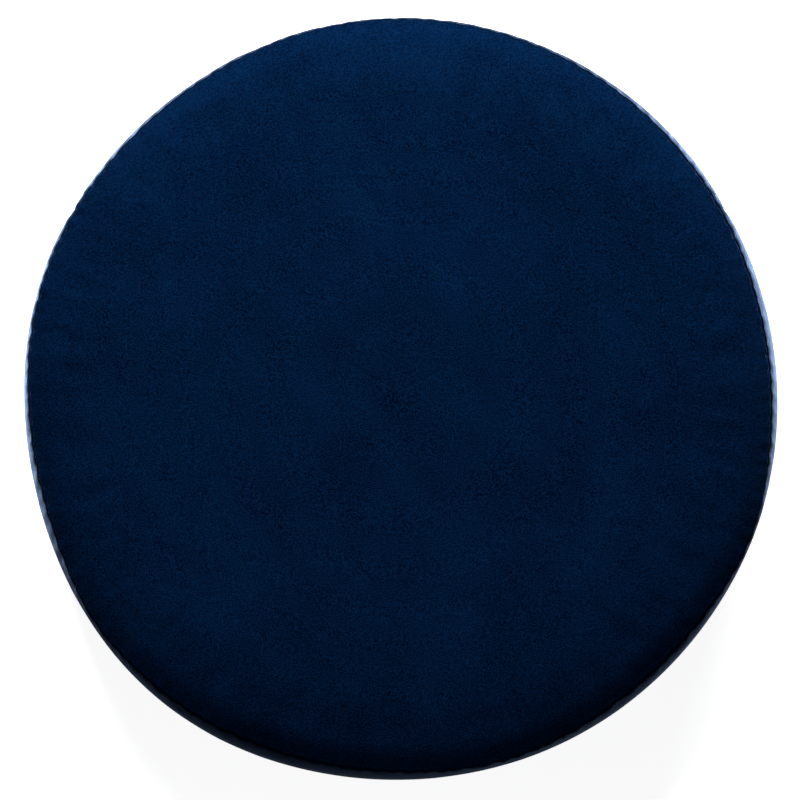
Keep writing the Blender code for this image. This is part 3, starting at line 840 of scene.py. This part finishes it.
def turn_fold(edge, side, back):
    """Rows round the folded edge and back behind it, from the band's last row before it."""
    radius = (edge[:, 0] - RETURN_RADIUS) / 2
    rows = []
    for turn in np.linspace(0, math.pi, FOLD_STEPS + 1)[1:]:
        row = edge.copy()
        row[:, 0] -= radius * (1 - math.cos(turn))
        row[:, 2] -= side * radius * math.sin(turn)
        rows.append(row)
    end = ZIP_HEIGHT + side * (SLOT_HALF + back)
    for share in (0.4, 0.75, 1.0):
        row = rows[FOLD_STEPS - 1].copy()
        row[:, 2] += (end - row[:, 2]) * share
        rows.append(row)
    return np.array(rows)


def make_zip_bands(grid, top_row, base_row, fold_rows, finish):
    columns = slice(FIRST_ZIP_COLUMN, LAST_ZIP_COLUMN + 1)
    upper = extend_rows(grid[top_row : fold_rows[0] + 1, columns], turned_in(-1), at_start=True)
    upper = np.concatenate([upper, turn_fold(upper[-1], 1, UPPER_RETURN)])
    lower = extend_rows(grid[fold_rows[1] : base_row + 1, columns], turned_in(1), at_start=False)
    lower = np.concatenate([turn_fold(lower[0], -1, LOWER_RETURN)[::-1], lower])
    for name, rows, side in (("zip_band_upper", upper, 1), ("zip_band_lower", lower, -1)):
        rows = finer_columns(rows, 3)
        draw_in_stitches(rows, stitch_height(side))
        rows = extend_columns(rows, turned_in(1))
        band = sheet_of(name + "_velvet", rows, finish)
        thicken(band, VELVET)
        place(band, "cushion", name)


def stitch_height(side):
    return ZIP_HEIGHT + side * (SLOT_HALF + STITCH_LINE)


def draw_in_stitches(rows, height):
    """A shallow channel along the stitch line, deeper where each stitch dives into the cloth."""
    beside = np.exp(-(((rows[..., 2] - height) / (1.0 * MM)) ** 2))
    outside = rows[..., 0] > RETURN_RADIUS + 2.2 * MM
    along = (rows[..., 1] - ZIP_START) * RADIUS / STITCH_PITCH
    dive = 0.5 + 0.5 * np.cos(2 * math.pi * along)
    rows[..., 0] -= outside * beside * (0.25 + 0.35 * dive) * MM


# ---------------------------------------------------------------- thread


def stitches(name, point_at, start, end, pitch, radius, finish, sink=0.35 * MM, points=7):
    """A row of separate stitches: point_at(angle, out) gives a point of the row, out above its line."""
    bow = 0.22 * MM
    paths = []
    count = int((end - start) * RADIUS / pitch)
    for i in range(count):
        middle = start + (i + 0.5) * (end - start) / count
        half = 0.44 * pitch / RADIUS
        path = []
        for share in np.linspace(-1, 1, points):
            lift = bow * (1 - share**2) - sink * abs(share) ** 6
            path.append(point_at(middle + half * share, lift))
        paths.append(path)
    return tube_mesh(name, paths, radius, 6, finish, ends=0.6)


def make_topstitching(grid, finish):
    for name, side in (("zip_topstitch_upper", 1), ("zip_topstitch_lower", -1)):
        height = stitch_height(side)
        row = int(np.argmin(abs(grid[:, FIRST_ZIP_COLUMN, 2] - height)))

        def on_band(angle, out):
            radius = np.interp(angle, grid[row, :, 1], grid[row, :, 0]) + out - 0.1 * MM
            return turned_point(radius, angle, height)

        ends = ZIP_START + 2.5 * MM / RADIUS, ZIP_END - 2.5 * MM / RADIUS
        made = stitches(name + "_stitches", on_band, *ends, STITCH_PITCH, 0.26 * MM, finish)
        place(made, "cushion", name)


def make_seam_threads(finish):
    """The stitches that hold each seam, along the inner side of the panel's allowance."""
    stand_off = LAYER_GAP + VELVET + 0.45 * MM
    seams = (
        ("top_seam_thread", top_seam, TOP_SEAM + stand_off),
        ("base_seam_thread", base_seam, BASE_SEAM - stand_off),
    )
    for name, seam, height in seams:

        def in_seam(angle, out):
            radius = float(seam(np.array([angle]))[0]) - GROOVE_DEPTH - 4 * MM
            return turned_point(radius, angle, height + out)

        size = dict(pitch=4.2 * MM, radius=0.22 * MM, sink=0.2 * MM, points=5)
        made = stitches(name + "_stitches", in_seam, 0, 2 * math.pi, finish=finish, **size)
        place(made, "cushion", name)


def make_join_threads(finish):
    """The stitches of the two upright seams, inside the turned-in edges."""
    pitch, radius = 3.6 * MM, RADIUS - 6.5 * MM
    margin = 3 * MM
    count = int((TOP_SEAM - BASE_SEAM - 2 * margin) / pitch)
    bow = ((0.0, 0.0), (0.2, 0.2), (0.5, 0.3), (0.8, 0.2), (1.0, 0.0))
    for name, angle in (("right", ZIP_START - 0.012), ("left", ZIP_END + 0.012)):
        paths = []
        for i in range(count):
            low = BASE_SEAM + margin + pitch * i
            path = [turned_point(radius - out * MM, angle, low + share * 0.9 * pitch) for share, out in bow]
            paths.append(path)
        made = tube_mesh(f"band_join_{name}_stitches", paths, 0.22 * MM, 5, finish, ends=0.6)
        place(made, "cushion", f"band_join_thread_{name}")


# ---------------------------------------------------------------- zip


def make_zip_tapes(finish):
    """Woven tapes, each with a thicker cord where its coil is sewn on."""
    low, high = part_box("zip_tape_upper")
    width, inner = high.z - low.z, low.z - ZIP_HEIGHT
    angles = np.linspace(ZIP_START + 0.15 * MM / RADIUS, ZIP_END - 0.15 * MM / RADIUS, 241)
    across = np.concatenate([[0.0, 0.2, 0.5, 0.9, 1.4, 2.0, 3.0], np.linspace(4.5, width / MM, 5)]) * MM
    for name, side in (("zip_tape_upper", 1), ("zip_tape_lower", -1)):
        rows = []
        for distance in across[:: -side]:
            cord = 0.12 * MM * math.exp(-((distance - 0.6 * MM) / (0.5 * MM)) ** 2)
            rows.append(ring_row(TAPE_FACE + cord, angles, ZIP_HEIGHT + side * (inner + distance)))
        tape = sheet_of(name + "_woven", np.array(rows), finish)
        thicken(tape, TAPE)
        place(tape, "cushion", name)


def make_guard_and_shade_strip(finish):
    """A dark strip of tape cloth behind the zip, sewn to the upper return, that keeps the filling from it; it
    is also painted shade, a dark sheet seen through the coils' gaps.
    """
    angles = np.linspace(ZIP_START - 0.01, ZIP_END + 0.01, 201)
    rows = []
    half_width = 9.5 * MM
    for share in np.linspace(1, -1, 9):
        sag = 0.25 * MM * (1 - share**2) * (0.5 + 0.5 * np.cos(angles * 41))
        rows.append(ring_row(GUARD_RADIUS - sag, angles, ZIP_HEIGHT + half_width * share))
    guard = sheet_of("zip_guard", np.array(rows), finish)
    thicken(guard, 0.35 * MM)
    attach(guard, "cushion")


def coil_parting(angle):
    """How far apart the coils are: closed along the chain, open round the slider's post."""
    post_end = SLIDER_ANGLE - 1.85 * MM / COIL_CENTRE
    merge_end = SLIDER_ANGLE + 2 * MM / COIL_CENTRE
    share = np.clip((merge_end - angle) / (merge_end - post_end), 0, 1)
    return COIL_SPREAD * share


def make_zip_coils(finish):
    """Two coils of nylon wire, whose turns lie between each other's where the chain is closed."""
    top_stop, base_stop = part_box("zip_top_stop_upper"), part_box("zip_base_stop")
    start = math.atan2(top_stop[1].y, top_stop[0].x) + 0.2 * MM / COIL_CENTRE
    end = math.atan2(base_stop[1].y, base_stop[1].x) - 0.2 * MM / COIL_CENTRE
    turns = int((end - start) * COIL_CENTRE / COIL_PITCH)
    steps = 11
    turn = np.arange(turns * steps + 1) * 2 * math.pi / steps
    angles = start + (end - start) * turn / (2 * math.pi * turns)
    overlap, reach = 0.22 * MM, 2.45 * MM
    middle, half = (reach - overlap) / 2, (reach + overlap) / 2 - WIRE
    radii = COIL_CENTRE + (COIL_HALF - WIRE) * np.sin(turn)
    for name, side, phase in (("zip_coil_upper", 1, 0.0), ("zip_coil_lower", -1, 0.5)):
        shifted = angles + phase * COIL_PITCH / COIL_CENTRE
        heights = ZIP_HEIGHT + side * (middle + half * np.cos(turn) + coil_parting(shifted))
        path = to_points(radii, shifted, heights)
        coil = tube_mesh(name + "_wire", [path], WIRE, 5, finish)
        place(coil, "cushion", name)


def flat_to_zip(radius, angle):
    """Turns what is built flat, with +X along the zip and +Z out, into its place on the zip."""
    along = Vector((-math.sin(angle), math.cos(angle), 0))
    out = Vector(turned_point(1, angle, 0))
    turn = Matrix((along, (0, 0, 1), out)).transposed().to_4x4()
    return Matrix.Translation(out * radius + Vector((0, 0, ZIP_HEIGHT))) @ turn


def stand(obj, radius, angle=SLIDER_ANGLE):
    obj.data.transform(flat_to_zip(radius, angle))
    return obj


def crimp(name, angle, length, half_height, offset, finish):
    """A metal clip pressed round the chain: a strip bent to an open oval."""
    half_depth, strip = COIL_HALF + 0.12 * MM, 0.4 * MM
    rows = []
    for x in (-length / 2, length / 2):
        bend = [math.radians(110 - 20 * i) + math.pi / 2 for i in range(12)]
        rows.append([(x, offset + half_height * math.cos(t), half_depth * math.sin(t)) for t in bend])
    count = len(rows[0])
    faces = [(i, i + 1, count + i + 1, count + i) for i in range(count - 1)]
    clip = mesh_object(name, rows[0] + rows[1], faces, finish)
    thicken(clip, strip)
    round_off(clip, 0.1 * MM, 2)
    return smooth_by_angle(stand(clip, COIL_CENTRE, angle), 50)


def make_zip_stops(finish):
    apart = COIL_OFFSET + COIL_SPREAD
    stops = (
        ("zip_top_stop_upper", "zip_top_stop_upper", 2 * MM, 1.1 * MM, apart),
        ("zip_top_stop_lower", "zip_top_stop_upper", 2 * MM, 1.1 * MM, -apart),
        ("zip_base_stop", "zip_base_stop", 3 * MM, 2.6 * MM, 0.0),
    )
    for name, level_with, length, half_height, offset in stops:
        low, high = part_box(level_with)
        angle = math.atan2(low.y + high.y, low.x + high.x)
        clip = crimp(name + "_clip", angle, length, half_height, offset, finish)
        place(clip, "cushion", name)


def flat_plate(name, outlines, thickness, rounding, finish=None):
    """A flat piece with rounded edges, from closed outlines in the XY plane."""
    curve = bpy.data.curves.new(name, "CURVE")
    curve.dimensions = "2D"
    curve.fill_mode = "BOTH"
    curve.extrude = thickness / 2 - rounding
    curve.bevel_depth = rounding
    curve.bevel_resolution = 2
    curve.offset = -rounding
    for outline in outlines:
        spline = curve.splines.new("POLY")
        spline.points.add(len(outline) - 1)
        for target, point in zip(spline.points, outline):
            target.co = (*point, 0.0, 1.0)
        spline.use_cyclic_u = True
    held = link(name + "_outline", curve)
    bpy.context.view_layer.update()
    graph = bpy.context.evaluated_depsgraph_get()
    mesh = bpy.data.meshes.new_from_object(held.evaluated_get(graph), depsgraph=graph)
    bpy.data.objects.remove(held)
    made = link(name, mesh)
    if finish is not None:
        mesh.materials.append(finish)
    seal = made.modifiers.new("seal", "WELD")
    seal.merge_threshold = 0.002 * MM
    return smooth_by_angle(settle(made))


def rounded(corners, radius, steps=5):
    """An outline whose corners, given anticlockwise, are rounded."""
    outline = []
    count = len(corners)
    for i in range(count):
        before, here, after = (Vector(corners[j % count]) for j in (i - 1, i, i + 1))
        back, ahead = (before - here).normalized(), (after - here).normalized()
        cut = min(radius, (before - here).length * 0.45, (after - here).length * 0.45)
        for step in range(steps + 1):
            share = step / steps
            a, b = here + back * cut * (1 - share), here + ahead * cut * share
            outline.append(tuple(a * (1 - share) + b * share))
    return outline


def box_mesh(name, low, high, rounding, finish=None, taper=1.0):
    """A block between two corners with rounded edges; its +X end is taper times as wide in Y."""
    mesh = bpy.data.meshes.new(name)
    made = link(name, mesh)
    work = bmesh.new()
    bmesh.ops.create_cube(work, size=1)
    middle = (Vector(low) + Vector(high)) / 2
    size = Vector(high) - Vector(low)
    for vertex in work.verts:
        narrow = taper if vertex.co.x > 0 else 1.0
        vertex.co.y *= narrow
        vertex.co = Vector(vertex.co[i] * size[i] + middle[i] for i in range(3))
    work.to_mesh(mesh)
    work.free()
    if finish is not None:
        mesh.materials.append(finish)
    return smooth_by_angle(round_off(made, rounding))


def merge(name, pieces):
    """One body from pieces that run into each other."""
    body = pieces[0]
    for other in pieces[1:]:
        combine(body, other, "UNION")
    body.name = name
    return smooth_by_angle(body, 35)


def slider_outline():
    """A shield: wide and notched at the end where the coils part, narrow at the other."""
    half, front, tail = SLIDER_LENGTH / 2, SLIDER_FRONT, SLIDER_TAIL
    notch = 1.3 * MM
    side = [(-half, front * 0.45), (-half, front), (-half * 0.1, front), (half * 0.35, tail), (half, tail)]
    corners = [(-half + notch, 0)] + [(x, -y) for x, y in side] + side[::-1]
    return rounded(corners, 1.0 * MM)


def make_slider(finish):
    outer_middle, inner_middle = OUTER_PLATE + PLATE / 2, INNER_PLATE - PLATE / 2
    pieces = []
    for name, middle in (("slider_outer", outer_middle), ("slider_inner", inner_middle)):
        plate = flat_plate(name, [slider_outline()], PLATE, 0.28 * MM, finish)
        plate.data.transform(Matrix.Translation((0, 0, middle)))
        pieces.append(plate)
    end = SLIDER_LENGTH / 2 - 0.5 * MM
    lean = (SLIDER_TAIL - SLIDER_FRONT) / SLIDER_LENGTH
    for side in (1, -1):
        near, far = sorted((side * 3.95 * MM, side * 3.2 * MM))
        low, high = (-end, near, TAPE_FACE + 0.35 * MM), (end, far, outer_middle)
        lip = box_mesh("slider_lip", low, high, 0.12 * MM, finish)
        for vertex in lip.data.vertices:
            vertex.co.y += side * vertex.co.x * lean
        pieces.append(lip)
    start, length, half_width = -SLIDER_LENGTH / 2 + 1.1 * MM, 2.4 * MM, 0.7 * MM
    low, high = (start, -half_width, inner_middle), (start + length, half_width, outer_middle)
    pieces.append(box_mesh("slider_post", low, high, 0.15 * MM, finish, taper=0.45))
    pieces.append(slider_bridge(finish))
    slider = stand(merge("zip_slider_body", pieces), 0.0)
    place(slider, "slider", "zip_slider")


def slider_bridge(finish):
    """The arch that holds the pull: a strap bent over the outer plate, thicker in the middle."""
    foot = OUTER_PLATE + PLATE * 0.5
    top = PULL_RADIUS + 1.0 * MM
    half, strap = 2.1 * MM, 0.75 * MM
    cut, outer_cut, drop = 0.9 * MM, 0.3 * MM, 0.4 * MM
    inner = [(half - cut, top), (half, top - cut), (half, foot)]
    outer = [(half + strap, foot), (half + strap, top - drop), (half - outer_cut, top + strap)]
    left_inner, left_outer = ([(-x, z) for x, z in half_edge[::-1]] for half_edge in (inner, outer))
    outline = rounded(left_inner + inner + outer + left_outer, 0.7 * MM, 3)
    arch = flat_plate("slider_bridge", [outline[::-1]], 1.5 * MM, 0.2 * MM, finish)
    arch.data.transform(Matrix.Rotation(math.pi / 2, 4, "X"))
    return arch


def make_pull(finish):
    """A flat tab with an eye that goes under the bridge, and a shallow panel pressed in each face."""
    start, widening, centre = -0.5 * MM, 6.0 * MM, PULL_LENGTH - PULL_END
    edge = [(start, -PULL_NECK), (widening, -PULL_NECK), *arc(PULL_END, range(-80, 81, 16), (centre, 0.0))]
    edge += [(widening, PULL_NECK), (start, PULL_NECK)]
    near, far, half = 0.53 * MM, 5.5 * MM, 1.3 * MM
    eye = rounded([(near, -half), (far, -half), (far, half), (near, half)], 0.7 * MM)
    pull = flat_plate("zip_pull_body", [edge, eye[::-1]], PULL_THICKNESS, 0.25 * MM, finish)
    start, half = 8 * MM, 2.1 * MM
    panel = [(start, half), (start, -half), *arc(half, range(-90, 91, 18), (centre, 0.0))]
    for face in (1, -1):
        tool = flat_plate("pull_press", [panel], 0.5 * MM, 0.12 * MM)
        tool.data.transform(Matrix.Translation((0, 0, face * (PULL_THICKNESS / 2 + 0.05 * MM))))
        combine(pull, tool, "DIFFERENCE")
    smooth_by_angle(pull, 35)
    stand(pull, PULL_RADIUS)
    place(pull, "pull", "zip_pull_tab")


# ---------------------------------------------------------------- label and grip dots


def make_label(grid, finish):
    """A blank satin ribbon, folded double and caught in the upright seam, that follows the band."""
    low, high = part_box("care_label")
    heights = np.linspace(high.z, low.z, 15)
    length = 27 * MM
    shares = np.linspace(0, 1, 28)
    rows = []
    for height in heights:
        row = int(np.argmin(abs(grid[:, LAST_ZIP_COLUMN, 2] - height)))
        line = []
        for layer, order in ((0.62, shares), (0.22, shares[::-1])):
            for share in order:
                angle = ZIP_END + 0.001 + share * length / RADIUS
                face = np.interp(angle, grid[row, :, 1], grid[row, :, 0])
                face = max(face, RADIUS - 1.6 * MM)
                wave = 0.12 * math.sin(7 * share + 90 * height) + 0.35 * share**2
                pinch = min(1.0, (1 - share) * 9 + 0.35)
                line.append((face + (0.42 + (layer - 0.42) * pinch + wave) * MM, angle, height))
        rows.append(line)
    ribbon = sheet_of("care_label_ribbon", np.array(rows), finish)
    thicken(ribbon, 0.1 * MM)
    place(ribbon, "cushion", "care_label")


def make_grip_dots(finish):
    """Low silicone dots in staggered rows under the base cloth; the cushion stands on them."""
    pitch, radius, sides = 13 * MM, 1.9 * MM, 10
    reach = RADIUS - BASE_SET_IN - BASE_SHOULDER_WIDTH - 5 * MM
    rings = ((1.0, BASE_LIFT + 0.05 * MM), (0.96, 0.3 * MM), (0.8, 0.1 * MM), (0.5, 0.0))
    points, faces = [], []
    rows = int(reach / (pitch * 0.866))
    for row in range(-rows, rows + 1):
        y = row * pitch * 0.866
        for column in range(-rows, rows + 1):
            x = (column + 0.5 * (row % 2)) * pitch
            if math.hypot(x, y) > reach:
                continue
            first = len(points)
            for share, height in rings:
                for turn in np.arange(sides) * 2 * math.pi / sides:
                    across, up, _ = turned_point(radius * share, turn, height)
                    points.append((x + across, y + up, height))
            faces.append([first + i for i in range(sides)])
            for ring in range(len(rings) - 1):
                for i in range(sides):
                    a, b = first + ring * sides + i, first + ring * sides + (i + 1) % sides
                    faces.append((a, a + sides, b + sides, b))
            faces.append([first + (len(rings) - 1) * sides + i for i in reversed(range(sides))])
    dots = mesh_object("base_grip_dots", points, faces, finish)
    smooth_by_angle(dots, 60)
    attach(dots, "cushion")


# ---------------------------------------------------------------- filling


def filling(name, profile, finish, lumps=0.0, size=1.0, seed=1, columns=180, ring=False, shape=None):
    """A turned soft solid with uneven faces; the profile is (radius, height) down its outer side."""
    angles = np.arange(columns) * 2 * math.pi / columns
    rng = np.random.default_rng(seed)
    inner = profile if ring else [point for point in profile if point[0] > 0]
    rows = [ring_row(radius, angles, height) for radius, height in inner]
    if ring:
        rows.append(rows[0].copy())
    grid = np.array(rows)
    for _ in range(24):
        wave = rng.normal(size=3) / size
        place_in = to_points(grid[..., 0], grid[..., 1], grid[..., 2])
        push = lumps * 0.3 * np.cos(place_in @ wave * 2 * math.pi + rng.uniform(0, 6.3))
        grid[..., 0] -= abs(push) * 0.5
        grid[..., 2] += push * 0.25
    if shape is not None:
        shape(grid)
    ends = {} if ring else {"top": profile[0][1], "base": profile[-1][1]}
    return sheet_of(name, grid, finish, wrap=True, **ends)


def down(profile, step=9 * MM):
    """The profile with points added so that no stretch is longer than the step."""
    points = [profile[0]]
    for (r0, z0), (r1, z1) in zip(profile, profile[1:]):
        count = max(1, math.ceil(math.hypot(r1 - r0, z1 - z0) / step))
        points += [(r0 + (r1 - r0) * i / count, z0 + (z1 - z0) * i / count) for i in range(1, count + 1)]
    return points


def slab_profile(radius, low, high, corner):
    """A round slab, down its outer side, with rounded edges."""
    top = arc(corner, range(90, -1, -15), (radius - corner, high - corner))
    base = arc(corner, range(0, -91, -15), (radius - corner, low + corner))
    return down([(0.0, high), *top, *base, (0.0, low)])


def make_foam(core_finish, comfort_finish):
    layers = (
        ("foam_core", "_block", "core_foam", 3 * MM, core_finish),
        ("comfort_foam", "_layer", "comfort_foam", 3.5 * MM, comfort_finish),
    )
    for node, ending, slot, corner, finish in layers:
        low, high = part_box(node)
        slab = filling(node + ending, slab_profile(high.x, low.z, high.z, corner), finish)
        place(slab, "cushion", node)


def make_sleeve(finish):
    """A knitted cap over the foams, and the disc that closes it from below."""
    low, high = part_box("inner_sleeve_cap")
    corner, columns = 4 * MM, 240
    edge = arc(corner, range(90, -1, -18), (high.x - corner, high.z - corner))
    profile = down([(6 * MM, high.z), *edge, (high.x, low.z + 0.3 * MM)], 8 * MM)
    angles = np.arange(columns) * 2 * math.pi / columns
    rows = []
    for radius, height in profile:
        fade = min(1.0, radius / (90 * MM))
        crease = 0.1 * MM * fade * np.cos(37 * angles + 40 * height / (10 * MM))
        rows.append(ring_row(radius + crease, angles, height))
    cap = sheet_of("inner_sleeve_cap_knit", np.array(rows), finish, wrap=True, top=high.z)
    thicken(cap, 0.45 * MM)
    place(cap, "cushion", "inner_sleeve_cap")
    low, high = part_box("inner_sleeve_base")
    profile = down([(0.0, high.z), (high.x, high.z), (high.x, low.z), (0.0, low.z)])
    disc = filling("inner_sleeve_base_knit", profile, finish)
    place(disc, "cushion", "inner_sleeve_base")


def make_wadding(finish):
    """Fluffy wadding over, under and round the foam, kept clear of the seams and the zip."""
    low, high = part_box("wadding_top")
    edge = RADIUS - 16 * MM
    under = VELVET + 0.6 * MM
    shoulder = RADIUS - TOP_SET_IN - SHOULDER_WIDTH
    radii = np.linspace(0, edge - 8 * MM, 22)
    crown = [(radius, THICKNESS - CROWN * (radius / shoulder) ** 2 - under) for radius in radii]
    floor_at = max(low.z + 0.2 * MM, TOP_SEAM + 2.0 * MM)
    side = [(edge - 3 * MM, floor_at + 4.5 * MM), (edge, floor_at + 2 * MM), (edge - 1.5 * MM, floor_at)]
    profile = crown + side + down([(edge - 3 * MM, floor_at), (0.0, floor_at)])
    top = filling("wadding_top_layer", profile, finish, 0.8 * MM, 30 * MM, 11)
    place(top, "cushion", "wadding_top")

    low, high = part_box("wadding_base")
    edge = RADIUS - 17 * MM
    bottom = BASE_LIFT + VELVET + 0.5 * MM
    profile = [(0.0, high.z - 0.2 * MM), (edge - 2 * MM, high.z - 0.2 * MM), (edge, high.z - 2.5 * MM)]
    profile += [(edge - 1 * MM, bottom + 3 * MM), (edge - 5 * MM, bottom), (0.0, bottom)]
    base = filling("wadding_base_layer", down(profile), finish, 0.7 * MM, 30 * MM, 12)
    place(base, "cushion", "wadding_base")

    inner = high.x + 0.6 * MM
    ends = 3 * MM
    heights = np.linspace(TOP_SEAM - ends, BASE_SEAM + ends, 16)
    middle, half = (TOP_SEAM + BASE_SEAM) / 2, (TOP_SEAM - BASE_SEAM) / 2
    face = [(RADIUS - 2.9 * MM - 4.2 * MM * abs((z - middle) / half) ** 3, z) for z in heights]
    profile = [(inner, heights[0])] + face + [(inner, heights[-1]), (inner, middle)]
    hollow = GUARD_RADIUS - 1.0 * MM

    def clear_zip(grid):
        """The wadding gives way behind the zip."""
        near = (grid[..., 2] - ZIP_HEIGHT) / (15 * MM)
        inside = (grid[..., 1] > ZIP_START - 0.08) & (grid[..., 1] < ZIP_END + 0.08)
        limit = hollow + np.clip(near**4 * 3, 0, 12) * MM
        grid[..., 0] = np.where(inside, np.minimum(grid[..., 0], np.maximum(limit, inner)), grid[..., 0])
        grid[..., 0] = np.maximum(grid[..., 0], inner)

    form = dict(columns=240, ring=True, shape=clear_zip)
    ring = filling("wadding_side_layer", profile, finish, 0.8 * MM, 26 * MM, 13, **form)
    place(ring, "cushion", "wadding_side")


# ---------------------------------------------------------------- camera, floor and light


def aim(obj, target):
    obj.rotation_euler = (Vector(target) - obj.location).to_track_quat("-Z", "Y").to_euler()


def make_camera():
    tilt = math.radians(5)
    away = 3.5
    data = bpy.data.cameras.new("camera")
    data.sensor_width = 36
    data.lens = 296.8
    data.clip_end = 50
    camera = link("camera", data)
    target = Vector((0, 0, (TOP_SEAM + BASE_SEAM) / 2))
    camera.location = target + Vector((0, -math.sin(tilt), math.cos(tilt))) * away
    aim(camera, target)
    bpy.context.scene.camera = camera


def make_light(name, angle, elevation, away, size, power):
    """A square soft light, aimed at the middle of the cushion."""
    data = bpy.data.lights.new(name, "AREA")
    data.size = size
    data.energy = power
    lamp = link(name, data)
    turn, rise = math.radians(angle), math.radians(elevation)
    reach = away * math.cos(rise)
    lamp.location = turned_point(reach, turn, away * math.sin(rise))
    aim(lamp, (0, 0, THICKNESS / 2))


def make_studio():
    reach = 9.0
    corners = [(x * reach, y * reach, 0) for x, y in ((-1, -1), (1, -1), (1, 1), (-1, 1))]
    floor = mesh_object("floor", corners, [(0, 1, 2, 3)], floor_finish())
    floor.visible_diffuse = False
    make_light("rear", 100, 36, 1.5, 0.8, 58)
    make_light("low_rear", 77, 8, 1.7, 0.8, 64)
    make_light("front", 262, 46, 2.0, 1.0, 6.5)
    world = bpy.data.worlds.new("studio")
    bpy.context.scene.world = world
    world.use_nodes = True
    background = world.node_tree.nodes["Background"]
    background.inputs["Color"].default_value = (0.95, 0.97, 1.0, 1.0)
    background.inputs["Strength"].default_value = 0.035
    bpy.context.scene.view_settings.view_transform = "Standard"


def main():
    make_camera()
    make_studio()
    velvet = velvet_finish("navy_velvet", 0.4, 0.28, (0.32, 0.55, 1.0))
    # The pile of the side runs down, so it catches more light.
    side_velvet = velvet_finish("side_velvet", 1.0, 0.36, (0.42, 0.6, 1.0))
    canvas = canvas_finish()
    thread = thread_finish("navy_thread", (0.001, 0.003, 0.012), (0.004, 0.012, 0.04))
    nickel = nickel_finish()

    grid, top_row, base_row, fold_rows = make_cover_grid()
    make_top_panel(grid, top_row, velvet)
    make_base_panel(grid, base_row, canvas)
    make_front_band(grid, top_row, base_row, side_velvet)
    make_zip_bands(grid, top_row, base_row, fold_rows, side_velvet)
    make_topstitching(grid, thread)
    make_seam_threads(thread)
    make_join_threads(thread)

    tape = tape_finish()
    make_zip_tapes(tape)
    # The zip guard is also painted shade: a dark sheet behind the coils.
    make_guard_and_shade_strip(tape)
    make_zip_coils(nylon_finish())
    make_zip_stops(nickel)
    make_slider(nickel)
    make_pull(nickel)
    make_label(grid, ribbon_finish())
    make_grip_dots(grip_finish())

    grey_foam = foam_finish("grey_foam", (0.12, 0.125, 0.135), (0.30, 0.31, 0.33), 1.0 * MM)
    cream_foam = foam_finish("cream_foam", (0.52, 0.45, 0.32), (0.80, 0.74, 0.60), 1.3 * MM)
    make_foam(grey_foam, cream_foam)
    make_sleeve(jersey_finish())
    make_wadding(wadding_finish())


main()
